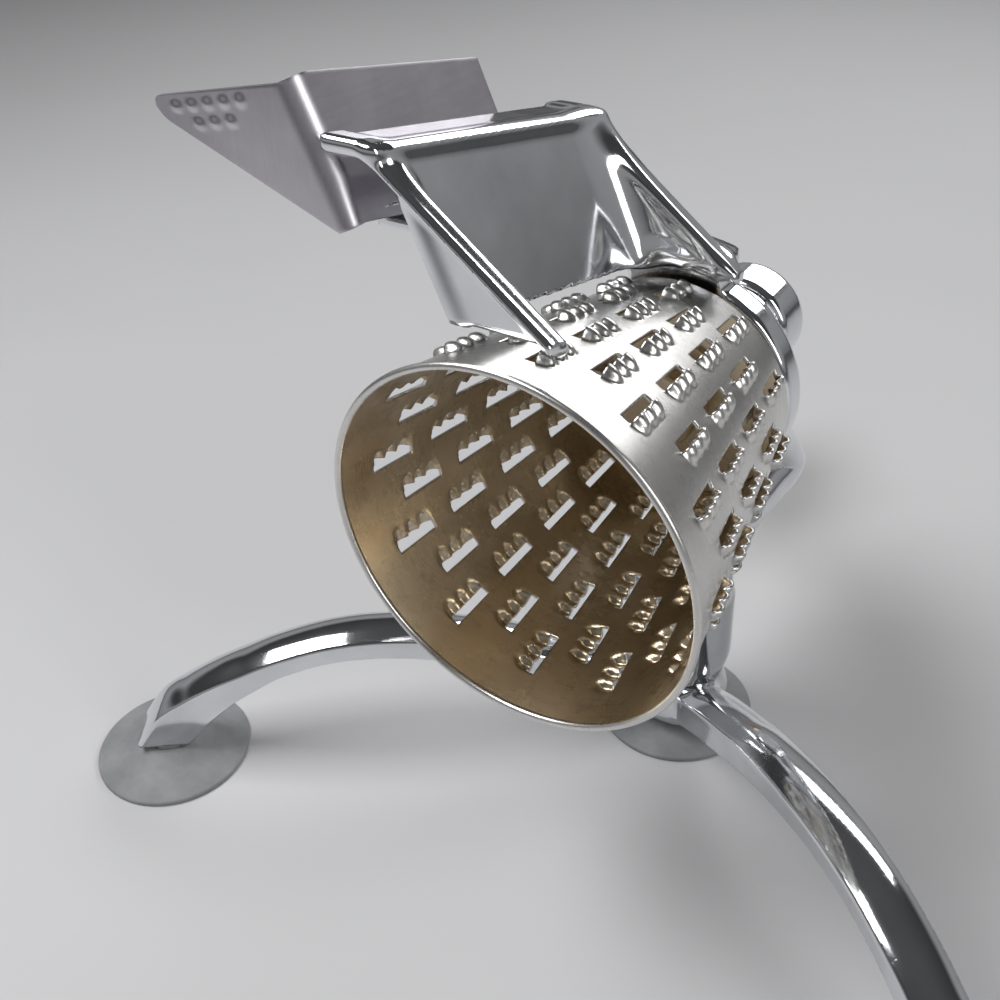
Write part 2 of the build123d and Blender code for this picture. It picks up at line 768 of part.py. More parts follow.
with BuildPart() as drum_shell:
    with BuildSketch(profile_plane()):
        with BuildLine():
            Polyline((0, 0), (0, mouth_radius), (drum_length, tail_radius), (drum_length, 0), close=True)
        make_face()
    revolve(axis=drum_axis)
    add([tooth_sector.part.rotate(drum_axis, turn * 360 / sector_count) for turn in range(sector_count)])
    with BuildSketch(profile_plane()):
        with BuildLine():
            Polyline(
                (0, 0),
                (0, mouth_radius - sheet),
                (drum_length, tail_radius - sheet),
                (drum_length, 0),
                close=True,
            )
        make_face()
    revolve(axis=drum_axis, mode=Mode.SUBTRACT)
    add(
        [slot_sector.part.rotate(drum_axis, turn * 360 / sector_count) for turn in range(sector_count)],
        mode=Mode.SUBTRACT,
    )
    with BuildSketch(profile_plane()):
        with Locations((0, mouth_radius - sheet / 2)):
            Circle(rim_bead_radius)
    revolve(axis=drum_axis)
finish(drum_shell, "drum_shell")

with BuildPart() as drum_back_plate:
    with BuildSketch(profile_plane()):
        ring(plate_front, plate_back, drum_radius(plate_back) - sheet, nose_bore)
    revolve(axis=drum_axis)
    with BuildSketch(rear_plane(plate_front)):
        with PolarLocations(drive_pin_circle, drive_pin_count):
            Circle(drive_pin_radius + slip_fit)
        with PolarLocations(cone_rivet_circle, cone_rivet_count, start_angle=rivet_start_angle):
            Circle(cone_rivet_radius)
    extrude(amount=back_plate, mode=Mode.SUBTRACT)
finish(drum_back_plate, "drum_back_plate")

with BuildPart() as drum_hub:
    with BuildSketch(profile_plane()):
        ring(plate_front - cone_hub_flange, plate_front, cone_hub_flange_radius, nose_bore)
        ring(hub_front, plate_front - cone_hub_flange, cone_hub_radius, nose_bore)
        ring(hub_front - hub_cap, hub_front, cone_hub_radius, 0)
    revolve(axis=drum_axis)
    with BuildSketch(rear_plane(plate_front - cone_hub_flange)):
        with PolarLocations(cone_rivet_circle, cone_rivet_count, start_angle=rivet_start_angle):
            Circle(cone_rivet_radius)
    extrude(amount=cone_hub_flange, mode=Mode.SUBTRACT)
    edge = drum_hub.edges().filter_by(GeomType.CIRCLE).group_by(Axis.Y)[0]
    fillet(edge, hub_cap_round)
finish(drum_hub, "drum_hub")

with BuildPart() as drum_rivets:
    with BuildSketch(rear_plane(plate_front - cone_hub_flange - rivet_head)):
        with PolarLocations(cone_rivet_circle, cone_rivet_count, start_angle=rivet_start_angle):
            Circle(rivet_head_radius)
    extrude(amount=rivet_head)
    with BuildSketch(rear_plane(plate_front - cone_hub_flange)):
        with PolarLocations(cone_rivet_circle, cone_rivet_count, start_angle=rivet_start_angle):
            Circle(cone_rivet_radius)
    extrude(amount=cone_hub_flange + back_plate)
finish(drum_rivets, "drum_rivets")

# ================================================================ crank
with BuildPart() as crank_arm:
    with BuildSketch(arm_side):
        with BuildLine():
            Polyline(
                (crank_step_front, 0),
                (crank_step_front, crank_sweep_start),
                (arm_front, crank_sweep_end),
                (arm_front, crank_radius + crank_root_width),
                (arm_back, crank_radius + crank_root_width),
                (arm_back, crank_sweep_end - arm_heel),
                (crank_step_front + crank_thickness, crank_sweep_start - arm_heel),
                (crank_step_front + crank_thickness, 0),
                close=True,
            )
        make_face()
    extrude(amount=crank_root_width, both=True)
    with BuildSketch(arm_face):
        Circle(crank_root_width / 2)
        with Locations((crank_radius, 0)):
            Circle(crank_tip_width / 2)
        make_hull()
    extrude(amount=arm_back + crank_root_width, mode=Mode.INTERSECT)
    with BuildSketch(profile_plane()):
        with BuildLine():
            Polyline(
                (crank_boss_back, crank_boss_radius - crank_boss_edge),
                (crank_boss_back, 0),
                (crank_boss_front, 0),
                (crank_boss_front, crank_boss_radius),
                (crank_boss_back - crank_boss_edge, crank_boss_radius),
            )
            CenterArc(
                (crank_boss_back - crank_boss_edge, crank_boss_radius - crank_boss_edge),
                crank_boss_edge,
                0,
                90,
            )
        make_face()
    revolve(axis=drum_axis)
    with BuildSketch(rear_plane(crank_boss_front)):
        Circle(spigot_radius)
        with Locations((0, 2 * spigot_radius - spigot_flat)):
            Rectangle(2 * spigot_radius, 2 * spigot_radius, mode=Mode.SUBTRACT)
    extrude(amount=crank_boss_length, mode=Mode.SUBTRACT)
    with BuildSketch(rear_plane(spigot_back)):
        Circle(boss_cap_radius)
    extrude(amount=crank_boss_length, mode=Mode.SUBTRACT)
    with BuildSketch(arm_face):
        with Locations((crank_radius, 0)):
            Circle(knob_bolt_radius)
    extrude(amount=arm_back + crank_root_width, mode=Mode.SUBTRACT)
finish(crank_arm, "crank_arm")

with BuildPart() as shaft_nut:
    with BuildSketch(rear_plane(spigot_back)):
        RegularPolygon(shaft_nut_radius, 6)
        Circle(thread_radius, mode=Mode.SUBTRACT)
    extrude(amount=shaft_nut_height)
finish(shaft_nut, "shaft_nut")

with BuildPart() as boss_cap:
    with BuildSketch(profile_plane()):
        with BuildLine():
            Polyline(
                (crank_boss_back - boss_cap_thickness, 0),
                (crank_boss_back - boss_cap_thickness, boss_cap_radius),
                (crank_boss_back, boss_cap_radius),
            )
            TangentArc(
                (crank_boss_back + boss_cap_crown, 0),
                (crank_boss_back, boss_cap_radius),
                tangent=(0, 1),
            )
            Line((crank_boss_back + boss_cap_crown, 0), (crank_boss_back - boss_cap_thickness, 0))
        make_face()
    revolve(axis=drum_axis)
finish(boss_cap, "boss_cap")

with BuildPart() as knob_bolt:
    with BuildSketch(knob_side):
        ring(arm_front - knob_nut_height, bolt_back, knob_bolt_radius, 0)
        ring(bolt_back, bolt_back + knob_bolt_head, knob_bolt_head_radius, 0)
    revolve(axis=knob_axis)
finish(knob_bolt, "knob_bolt")

with BuildPart() as knob_nut:
    with BuildSketch(Plane(origin=knob_place(arm_front), x_dir=(1, 0, 0), z_dir=(0, -1, 0))):
        RegularPolygon(knob_nut_radius, 6)
        Circle(knob_bolt_radius, mode=Mode.SUBTRACT)
    extrude(amount=knob_nut_height)
finish(knob_nut, "knob_nut")

with BuildPart() as knob_washer_ring:
    with BuildSketch(knob_side):
        ring(arm_back, arm_back + knob_washer, knob_washer_radius, knob_bolt_radius)
    revolve(axis=knob_axis)
finish(knob_washer_ring, "knob_washer")

with BuildPart() as crank_knob:
    with BuildSketch(knob_side):
        with BuildLine():
            Polyline(
                (knob_back, knob_recess_radius),
                (bolt_back - moving_gap, knob_recess_radius),
                (bolt_back - moving_gap, knob_bolt_radius + shaft_fit),
                (knob_front, knob_bolt_radius + shaft_fit),
                (knob_front, knob_collar_radius),
            )
            Spline(
                (knob_front, knob_collar_radius),
                (knob_front + knob_length * knob_waist_share, knob_waist_radius),
                (knob_front + knob_length * knob_belly_share, knob_belly_radius),
                (knob_back - knob_end_round, knob_end_radius),
            )
            CenterArc((knob_back - knob_end_round, knob_end_radius - knob_end_round), knob_end_round, 0, 90)
            Line((knob_back, knob_end_radius - knob_end_round), (knob_back, knob_recess_radius))
        make_face()
    revolve(axis=knob_axis)
finish(crank_knob, "crank_knob")

# ================================================================ pusher
with BuildPart() as pusher_plate:
    with BuildSketch(cross_plane(pusher_front + pusher_bend)):
        with BuildLine():
            Polyline(*pusher_section, close=True)
        make_face()
    extrude(amount=drift_run(pusher_length - pusher_bend), dir=drift)
    with BuildSketch(bend_plane):
        with BuildLine():
            CenterArc((-pusher_bend, 0), pusher_bend, -90, 90)
            Line((0, 0), (-pusher_sheet, 0))
            CenterArc((-pusher_bend, 0), pusher_bend - pusher_sheet, -90, 90)
            Line((-pusher_bend, -pusher_bend + pusher_sheet), (-pusher_bend, -pusher_bend))
        make_face()
    extrude(amount=pusher_bend_run)
    with BuildSketch(cross_plane(pusher_front)) as wing:
        with BuildLine():
            Polyline(*wing_outline, close=True)
        make_face()
        fillet(wing.vertices().sort_by(Axis.X)[:2], pusher_wing_round)
    extrude(amount=-pusher_sheet)
finish(pusher_plate, "pusher_plate")
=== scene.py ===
"""Looks of a hand-cranked rotary shredder: cast head and tripod, toothed drum, pusher and crank."""

from __future__ import annotations

import logging
import math
from dataclasses import dataclass, field
from enum import Enum
from itertools import product
from typing import Callable, Sequence

import bmesh
import bpy
import numpy as np
from mathutils import Matrix, Vector


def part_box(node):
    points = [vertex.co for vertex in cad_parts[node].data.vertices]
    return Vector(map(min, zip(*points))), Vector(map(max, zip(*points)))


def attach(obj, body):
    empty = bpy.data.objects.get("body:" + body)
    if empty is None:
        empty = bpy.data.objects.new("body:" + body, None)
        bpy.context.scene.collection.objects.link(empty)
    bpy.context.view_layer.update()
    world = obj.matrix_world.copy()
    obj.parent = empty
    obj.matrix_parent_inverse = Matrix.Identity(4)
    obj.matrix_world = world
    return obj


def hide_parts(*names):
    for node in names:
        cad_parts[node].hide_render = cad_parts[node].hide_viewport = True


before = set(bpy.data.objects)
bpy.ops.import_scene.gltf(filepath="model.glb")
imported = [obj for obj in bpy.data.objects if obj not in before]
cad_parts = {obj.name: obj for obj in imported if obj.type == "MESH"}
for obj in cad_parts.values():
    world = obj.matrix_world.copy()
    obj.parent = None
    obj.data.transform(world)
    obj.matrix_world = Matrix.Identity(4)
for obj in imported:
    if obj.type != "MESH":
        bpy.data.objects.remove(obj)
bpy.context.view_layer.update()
LOG = logging.getLogger("shredder")
MM = 0.001

Array = np.ndarray
Field = Callable[[Array, Array, Array], Array]
Colour = tuple[float, float, float]
Point = tuple[float, float, float]
Socket = bpy.types.NodeSocket


class Body(Enum):
    """Bodies of the machine that a piece can ride on."""

    FRAME = "frame"
    CRANK = "crank"
    DRUM = "drum"
    KNOB = "knob"
    PUSHER = "pusher"


# ---------------------------------------------------------------- places and meshes


@dataclass(frozen=True)
class Bench:
    """The machine's own axes in millimetres: x right, y behind the mouth, z above the table.

    Args:
        mouth_y: place of the drum's mouth plane along the row's Y.
        axis_z: height of the drum axis.
        hub_y: column axis behind the mouth.
        reach: plan length of a front leg, column axis to foot.
        turn: plan angle of a front leg from straight ahead, in radians.
        crank_reach: drum axis to knob axis.
        crank_turn: direction of the crank arm, in radians below level on the left.
    """

    mouth_y: float
    axis_z: float
    hub_y: float
    reach: float
    turn: float
    crank_reach: float
    crank_turn: float

    @classmethod
    def from_frame(cls, bead: float = 1.0) -> Bench:
        """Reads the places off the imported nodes.

        Args:
            bead: radius of the drum's rolled rim, which stands in front of the mouth plane.

        Returns:
            The bench that every piece is built on.
        """
        drum = middle("drum_shell")
        low, high = (corner / MM for corner in np.array(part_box("drum_shell")))
        mouth_y = low[1] + bead
        rear = middle("foot_cup_rear")
        left = middle("foot_cup_left")
        knob = middle("crank_knob")
        across, ahead = rear[0] - left[0], rear[1] - left[1]
        arm_x, arm_z = knob[0], knob[2] - drum[2]
        return cls(
            mouth_y=mouth_y,
            axis_z=drum[2],
            hub_y=rear[1] - mouth_y,
            reach=math.hypot(across, ahead),
            turn=math.atan2(across, ahead),
            crank_reach=math.hypot(arm_x, arm_z),
            crank_turn=math.atan2(-arm_z, -arm_x),
        )

    def world(self, points: Array) -> Array:
        """Machine millimetres to row metres."""
        return (np.asarray(points, float) + (0.0, self.mouth_y, 0.0)) * MM


def middle(node: str) -> Array:
    """Middle of a node's box, in row millimetres."""
    low, high = np.array(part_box(node)) / MM
    return (low + high) / 2


def add_mesh(
    name: str, bench: Bench, points: Array, faces: Sequence[Sequence[int]], normals: Array | None = None
) -> bpy.types.Object:
    """Makes a smooth mesh object from machine coordinates.

    Args:
        name: the piece's name.
        bench: the machine's axes.
        points: vertex places, in machine millimetres.
        faces: vertex numbers of each face.
        normals: directions to shade the vertices by, if they are known.

    Returns:
        The new object, linked to the scene.
    """
    mesh = bpy.data.meshes.new(name)
    mesh.from_pydata(bench.world(points).tolist(), [], [tuple(map(int, face)) for face in faces])
    mesh.validate()
    mesh.polygons.foreach_set("use_smooth", [True] * len(mesh.polygons))
    mesh.update()
    if normals is not None:
        mesh.normals_split_custom_set_from_vertices(normals.tolist())
    piece = bpy.data.objects.new(name, mesh)
    bpy.context.scene.collection.objects.link(piece)
    return piece


def apply_modifiers(piece: bpy.types.Object) -> None:
    """Bakes a piece's modifiers into its mesh.

    Args:
        piece: the piece to bake.
    """
    graph = bpy.context.evaluated_depsgraph_get()
    mesh = bpy.data.meshes.new_from_object(piece.evaluated_get(graph))
    piece.modifiers.clear()
    piece.data = mesh


def grid_faces(rows: int, columns: int, closed: bool = False) -> Array:
    """Faces of a grid whose vertices run along the columns first.

    Args:
        rows: number of vertex rows.
        columns: vertices in a row.
        closed: whether the last column joins the first.

    Returns:
        One row of four vertex numbers per face.
    """
    spans = columns if closed else columns - 1
    row, column = np.meshgrid(np.arange(rows - 1), np.arange(spans), indexing="ij")
    after = (column + 1) % columns
    here, below = row * columns, (row + 1) * columns
    return np.stack((here + column, here + after, below + after, below + column), -1).reshape(-1, 4)


@dataclass(frozen=True)
class Lathe:
    """A turned piece.

    Args:
        centre: a point on the axis, in machine millimetres.
        along_y: True for an axis that runs to the rear, False for an upright one.
        profile: (place along the axis, radius) pairs, in order.
        corner: radius of the rounding of the profile's corners.
        segments: facets round the axis.
        arc_steps: facets round a corner.
    """

    centre: Point
    along_y: bool
    profile: tuple[tuple[float, float], ...]
    corner: float = 0.4
    segments: int = 96
    arc_steps: int = 4

    def rounded(self) -> list[tuple[float, float]]:
        """Rounds the profile's inner corners.

        Returns:
            The profile with a small arc at each corner.
        """
        line = [Vector(point) for point in self.profile]
        out = [tuple(line[0])]
        for before, here, after in zip(line, line[1:], line[2:]):
            to_before, to_after = before - here, after - here
            if to_before.length < 1e-6 or to_after.length < 1e-6:
                continue
            reach = min(self.corner, 0.45 * to_before.length, 0.45 * to_after.length)
            start, end = here + to_before.normalized() * reach, here + to_after.normalized() * reach
            for step in range(self.arc_steps + 1):
                share = step / self.arc_steps
                first, second = start.lerp(here, share), here.lerp(end, share)
                out.append(tuple(first.lerp(second, share)))
        out.append(tuple(line[-1]))
        return out

    def build(self, name: str, bench: Bench) -> bpy.types.Object:
        """Builds the turned mesh.

        Args:
            name: the piece's name.
            bench: the machine's axes.

        Returns:
            The new object.
        """
        outline = np.array(self.rounded())
        angle = np.linspace(0, 2 * math.pi, self.segments, endpoint=False)
        along, radius = outline[:, :1], outline[:, 1:]
        first, second = radius * np.cos(angle), radius * np.sin(angle)
        run = np.broadcast_to(along, first.shape)
        local = (first, run, second) if self.along_y else (first, second, run)
        points = np.stack(local, -1).reshape(-1, 3) + self.centre
        piece = add_mesh(name, bench, points, grid_faces(len(outline), self.segments, closed=True))
        weld = piece.modifiers.new("weld", "WELD")
        weld.merge_threshold = 0.00001
        apply_modifiers(piece)
        outward(piece)
        return piece


def outward(piece: bpy.types.Object) -> None:
    """Turns a closed piece's faces so that they look outwards.

    Args:
        piece: the piece to mend.
    """
    shape = bmesh.new()
    shape.from_mesh(piece.data)
    bmesh.ops.recalc_face_normals(shape, faces=shape.faces)
    shape.to_mesh(piece.data)
    shape.free()


def drop_loose(piece: bpy.types.Object) -> None:
    """Removes vertices that no face uses.

    Args:
        piece: the piece to mend.
    """
    shape = bmesh.new()
    shape.from_mesh(piece.data)
    loose = [vertex for vertex in shape.verts if not vertex.link_faces]
    bmesh.ops.delete(shape, geom=loose, context="VERTS")
    shape.to_mesh(piece.data)
    shape.free()


# ---------------------------------------------------------------- distance fields for castings


def smooth_min(first: Array, second: Array, radius: float) -> Array:
    """Union of two distance fields with a fillet of about the given radius.

    Args:
        first: distances to one shape.
        second: distances to the other.
        radius: reach of the fillet, above zero.

    Returns:
        Signed distance to both shapes together.
    """
    blend = np.maximum(radius - np.abs(first - second), 0) / radius
    return np.minimum(first, second) - blend * blend * radius / 4


def box_distance(offsets: Sequence[Array], halves: Sequence[float], corner: float) -> Array:
    """Distance to a rounded box.

    Args:
        offsets: the points' offsets from the box's middle, one array per axis.
        halves: half sizes along the same axes.
        corner: edge radius.

    Returns:
        Signed distance, negative inside.
    """
    gaps = [np.abs(offset) - half + corner for offset, half in zip(offsets, halves)]
    outside = np.sqrt(sum(np.maximum(gap, 0) ** 2 for gap in gaps))
    inside = np.minimum(np.maximum.reduce(gaps), 0)
    return outside + inside - corner


def polygon_distance(x: Array, z: Array, corners: Sequence[tuple[float, float]]) -> Array:
    """Distance to a polygon in the plane.

    Args:
        x: places along the first axis.
        z: places along the second.
        corners: the polygon's corners, in order.

    Returns:
        Signed distance, negative inside.
    """
    best = np.full(np.shape(x), np.inf)
    sign = np.ones(np.shape(x))
    for (ax, az), (bx, bz) in zip(corners, [*corners[1:], corners[0]]):
        ex, ez = bx - ax, bz - az
        wx, wz = x - ax, z - az
        share = np.clip((wx * ex + wz * ez) / (ex * ex + ez * ez), 0, 1)
        best = np.minimum(best, (wx - ex * share) ** 2 + (wz - ez * share) ** 2)
        above, below = z >= az, z < bz
        turning = ex * wz > ez * wx
        flip = (above & below & turning) | (~above & ~below & ~turning)
        sign = np.where(flip, -sign, sign)
    return sign * np.sqrt(best)


def prism_distance(flat: Array, across: Array, half: float, corner: float) -> Array:
    """Distance to a prism with rounded edges.

    Args:
        flat: distances to the prism's outline.
        across: offsets from its middle plane.
        half: half its length.
        corner: edge radius.

    Returns:
        Signed distance, negative inside.
    """
    first, second = flat + corner, np.abs(across) - half + corner
    outside = np.sqrt(np.maximum(first, 0) ** 2 + np.maximum(second, 0) ** 2)
    return outside + np.minimum(np.maximum(first, second), 0) - corner


def ellipse_distance(u: Array, v: Array, wide: float, deep: float) -> Array:
    """Near distance to an ellipse about the origin.

    Args:
        u: places along the first half axis.
        v: places along the second.
        wide: first half axis.
        deep: second half axis.

    Returns:
        Signed distance, negative inside.
    """
    size = np.sqrt((u / wide) ** 2 + (v / deep) ** 2)
    slope = np.sqrt((u / wide**2) ** 2 + (v / deep**2) ** 2) + 1e-9
    return size * (size - 1) / slope


def slope_of(shape: Field, points: Array, probe: float) -> Array:
    """Slope of a field at points.

    Args:
        shape: the field.
        points: places to probe.
        probe: how far each way the field is read.

    Returns:
        One slope vector per point.
    """
    return np.stack([
        (shape(*(points + probe * axis).T) - shape(*(points - probe * axis).T)) / (2 * probe)
        for axis in np.eye(3)
    ], -1)


def mesh_field(shape: Field, low: Array, high: Array, step: float) -> tuple[Array, Array, Array]:
    """Meshes the zero surface of a distance field with one vertex per crossed cell.

    Args:
        shape: the field, negative inside.
        low: lowest corner of the region.
        high: highest corner of the region.
        step: cell size.

    Returns:
        Vertex places, four-sided faces and the vertices' normals.
    """
    low, high = np.asarray(low, float), np.asarray(high, float)
    axes = [np.arange(a, b + step, step) for a, b in zip(low, high)]
    values = shape(*np.meshgrid(*axes, indexing="ij"))
    inside = values < 0
    nx, ny, nz = (size - 1 for size in values.shape)
    count = np.zeros((nx, ny, nz), int)
    for i, j, k in product((0, 1), repeat=3):
        count += inside[i : nx + i, j : ny + j, k : nz + k]
    crossed = (count > 0) & (count < 8)
    number = np.full(crossed.shape, -1)
    number[crossed] = np.arange(crossed.sum())
    points = low + (np.argwhere(crossed) + 0.5) * step
    points = pull_to_surface(shape, points, step)
    faces = []
    for axis in range(3):
        one, two = (axis + 1) % 3, (axis + 2) % 3
        start = np.moveaxis(inside, (axis, one, two), (0, 1, 2))
        cells = np.moveaxis(number, (axis, one, two), (0, 1, 2))
        leaving = start[:-1, 1:-1, 1:-1] != start[1:, 1:-1, 1:-1]
        i, j, k = np.nonzero(leaving)
        ring = np.stack([cells[i, j, k], cells[i, j + 1, k], cells[i, j + 1, k + 1], cells[i, j, k + 1]], -1)
        solid_first = start[:-1, 1:-1, 1:-1][i, j, k]
        ring[~solid_first] = ring[~solid_first][:, ::-1]
        faces.append(ring)
    normals = slope_of(shape, points, 0.45 * step)
    return points, np.concatenate(faces), normals / np.linalg.norm(normals, axis=-1, keepdims=True)


def pull_to_surface(shape: Field, points: Array, step: float, rounds: int = 5) -> Array:
    """Moves points onto a field's zero surface, along its slope.

    Args:
        shape: the field.
        points: places near the surface.
        step: no point moves further than this in a round.
        rounds: how many times the move is made.

    Returns:
        The moved points.
    """
    for _ in range(rounds):
        here = shape(*points.T)
        slope = slope_of(shape, points, step * 0.08)
        length = np.maximum((slope**2).sum(-1), 0.15)
        move = -(here / length)[:, None] * slope
        far = np.maximum(np.linalg.norm(move, axis=-1) / (step * 0.6), 1)
        points = points + move / far[:, None]
    return points


def smooth_path(knots: Sequence[tuple[float, ...]], steps: int) -> Array:
    """Catmull-Rom curve through knots.

    Args:
        knots: the points to pass through.
        steps: samples between two knots.

    Returns:
        The sampled curve.
    """
    line = np.array([knots[0], *knots, knots[-1]], float)
    line[0] = 2 * line[1] - line[2]
    line[-1] = 2 * line[-2] - line[-3]
    out = []
    for index in range(1, len(line) - 2):
        p0, p1, p2, p3 = line[index - 1 : index + 3]
        for share in np.arange(steps) / steps:
            out.append(0.5 * (
                2 * p1 + (p2 - p0) * share + (2 * p0 - 5 * p1 + 4 * p2 - p3) * share**2
                + (3 * p1 - p0 - 3 * p2 + p3) * share**3
            ))
    return np.array([*out, line[-2]])


# ---------------------------------------------------------------- finishes


class Nodes:
    """Short way to wire a material's nodes."""

    def __init__(self, name: str) -> None:
        """Starts a material with its own Principled shader.

        Args:
            name: the material's name.
        """
        self.material = bpy.data.materials.new(name)
        self.material.use_nodes = True
        self.tree = self.material.node_tree
        self.shader = self.tree.nodes["Principled BSDF"]

    def add(self, kind: str, inputs: dict[str, object] | None = None, **settings: object) -> bpy.types.Node:
        """Adds a node.

        Args:
            kind: the node's type.
            inputs: values by input name or number; a socket makes a link.
            settings: the node's own properties.

        Returns:
            The new node.
        """
        node = self.tree.nodes.new(kind)
        for key, value in settings.items():
            setattr(node, key, value)
        for key, value in (inputs or {}).items():
            socket = node.inputs[int(key)] if key.isdigit() else node.inputs[key]
            if isinstance(value, Socket):
                self.tree.links.new(value, socket)
            else:
                socket.default_value = value
        return node

    def coordinates(self, scale: tuple[float, float, float], source: str = "Object") -> Socket:
        """Scaled texture coordinates.

        Args:
            scale: scale along the three axes.
            source: which coordinates are scaled.

        Returns:
            The coordinates' socket.
        """
        start = self.add("ShaderNodeTexCoord")
        mapping = self.add("ShaderNodeMapping", {"Vector": start.outputs[source], "Scale": scale})
        return mapping.outputs[0]

    def noise(self, where: Socket, scale: float, detail: float = 4.0, rough: float = 0.55) -> Socket:
        """Noise over coordinates.

        Args:
            where: the coordinates.
            scale: waves per unit.
            detail: how many octaves it has.
            rough: how strong the finer octaves are.

        Returns:
            The noise value's socket.
        """
        inputs = {"Vector": where, "Scale": scale, "Detail": detail, "Roughness": rough}
        return self.add("ShaderNodeTexNoise", inputs).outputs["Fac"]

    def mix(self, factor: float, first: Socket, second: Socket) -> Socket:
        """Mixes two values.

        Args:
            factor: share of the second value.
            first: one value.
            second: the other.

        Returns:
            The mixed value's socket.
        """
        return self.add("ShaderNodeMix", {"Factor": factor, "2": first, "3": second}).outputs[0]

    def ramp(self, value: Socket, stops: Sequence[tuple[float, Sequence[float]]]) -> Socket:
        """Colour ramp over a value.

        Args:
            value: the value that picks the colour.
            stops: places and their colours, in order.

        Returns:
            The colour's socket.
        """
        node = self.add("ShaderNodeValToRGB", {"Fac": value})
        band = node.color_ramp
        while len(band.elements) < len(stops):
            band.elements.new(0.5)
        for element, (place, colour) in zip(band.elements, stops):
            element.position = place
            element.color = (*colour, 1.0)
        return node.outputs["Color"]

    def spread(self, value: Socket, low: float, high: float) -> Socket:
        """Maps a value from 0..1 to low..high."""
        node = self.add("ShaderNodeMapRange", {"Value": value, "To Min": low, "To Max": high})
        return node.outputs[0]

    def bump(self, height: Socket, strength: float, depth: float, under: Socket | None = None) -> Socket:
        """Bump of a height.

        Args:
            height: the height's socket.
            strength: share of the bump that shows.
            depth: height of the bump, in metres.
            under: a coarser bump that this one lies on.

        Returns:
            The normal's socket.
        """
        inputs: dict[str, object] = {"Height": height, "Strength": strength, "Distance": depth}
        if under is not None:
            inputs["Normal"] = under
        return self.add("ShaderNodeBump", inputs).outputs[0]

    def wire(self, **links: object) -> bpy.types.Material:
        """Sets or links the shader's inputs.

        Args:
            links: values or sockets by input name, with _ for a space.

        Returns:
            The finished material.
        """
        for key, value in links.items():
            socket = self.shader.inputs[key.replace("_", " ")]
            if isinstance(value, Socket):
                self.tree.links.new(value, socket)
            else:
                socket.default_value = value
        return self.material


@dataclass(frozen=True)
class PlatedCasting:
    """Bright plating over a polished casting: soft waves, faint haze and fine pits.

    Args:
        colour: tone of the clean plating.
        shade: tone of its darker clouds.
        gloss: lowest roughness.
        haze: highest roughness.
    """

    colour: Colour = (0.80, 0.81, 0.83)
    shade: Colour = (0.66, 0.67, 0.69)
    gloss: float = 0.05
    haze: float = 0.15

    def make(self, name: str) -> bpy.types.Material:
        """Builds the material.

        Args:
            name: the material's name.

        Returns:
            The finished material.
        """
        nodes = Nodes(name)
        where = nodes.coordinates((1, 1, 1))
        cloud = nodes.noise(where, 38, 5)
        wave = nodes.noise(where, 55, 1.5, 0.4)
        grain = nodes.noise(where, 2600, 3)
        pits = nodes.noise(where, 900, 2)
        tone = nodes.ramp(cloud, ((0.3, self.shade), (0.62, self.colour)))
        rough = nodes.spread(nodes.noise(where, 90, 6, 0.65), self.gloss, self.haze)
        waves = nodes.bump(wave, 0.22, 0.0007)
        speck = nodes.bump(nodes.ramp(pits, ((0.24, (0, 0, 0)), (0.33, (1, 1, 1)))), 0.08, 0.0001, waves)
        fine = nodes.bump(grain, 0.03, 0.00004, speck)
        return nodes.wire(Base_Color=tone, Metallic=1.0, Roughness=rough, Normal=fine)


@dataclass(frozen=True)
class BrushedSheet:
    """Brushed stainless sheet: fine lines one way, soft clouds and a few rubs.

    Args:
        colour: tone of the clean metal.
        shade: tone of its darker clouds.
        lines: line scale along the three coordinates; the lines run along the smallest.
        source: which coordinates the lines follow.
        gloss: lowest roughness.
        haze: highest roughness.
        streak: how strongly the lines show.
    """

    colour: Colour = (0.74, 0.73, 0.71)
    shade: Colour = (0.6, 0.59, 0.57)
    lines: tuple[float, float, float] = (3000.0, 40.0, 3000.0)
    source: str = "Object"
    gloss: float = 0.2
    haze: float = 0.36
    streak: float = 0.1

    def make(self, name: str) -> bpy.types.Material:
        """Builds the material.

        Args:
            name: the material's name.

        Returns:
            The finished material.
        """
        nodes = Nodes(name)
        brushed = nodes.noise(nodes.coordinates(self.lines, self.source), 1.0, 5, 0.7)
        where = nodes.coordinates((1, 1, 1))
        cloud = nodes.noise(where, 45, 5, 0.6)
        rub = nodes.noise(where, 130, 8, 0.7)
        tone = nodes.ramp(nodes.mix(0.35, cloud, brushed), ((0.34, self.shade), (0.6, self.colour)))
        rough = nodes.spread(nodes.mix(0.5, brushed, rub), self.gloss, self.haze)
        lines = nodes.bump(brushed, self.streak, 0.00008)
        soft = nodes.bump(cloud, 0.12, 0.0006, lines)
        return nodes.wire(Base_Color=tone, Metallic=1.0, Roughness=rough, Normal=soft, Anisotropic=0.35)


@dataclass(frozen=True)
class CupRubber:
    """Matt grey rubber with a fine mould grain and a dusty bloom.

    Args:
        colour: tone of the bare rubber.
        bloom: tone where it is dusty.
        rough: middle roughness.
    """

    colour: Colour = (0.21, 0.22, 0.225)
    bloom: Colour = (0.3, 0.305, 0.31)
    rough: float = 0.62

    def make(self, name: str) -> bpy.types.Material:
        """Builds the material.

        Args:
            name: the material's name.

        Returns:
            The finished material.
        """
        nodes = Nodes(name)
        where = nodes.coordinates((1, 1, 1))
        cloud = nodes.noise(where, 60, 6, 0.65)
        grain = nodes.noise(where, 2200, 3)
        tone = nodes.ramp(cloud, ((0.35, self.colour), (0.68, self.bloom)))
        rough = nodes.spread(nodes.noise(where, 200, 4), self.rough - 0.1, self.rough + 0.14)
        swell = nodes.bump(cloud, 0.1, 0.0005)
        return nodes.wire(Base_Color=tone, Roughness=rough, Normal=nodes.bump(grain, 0.25, 0.00012, swell))


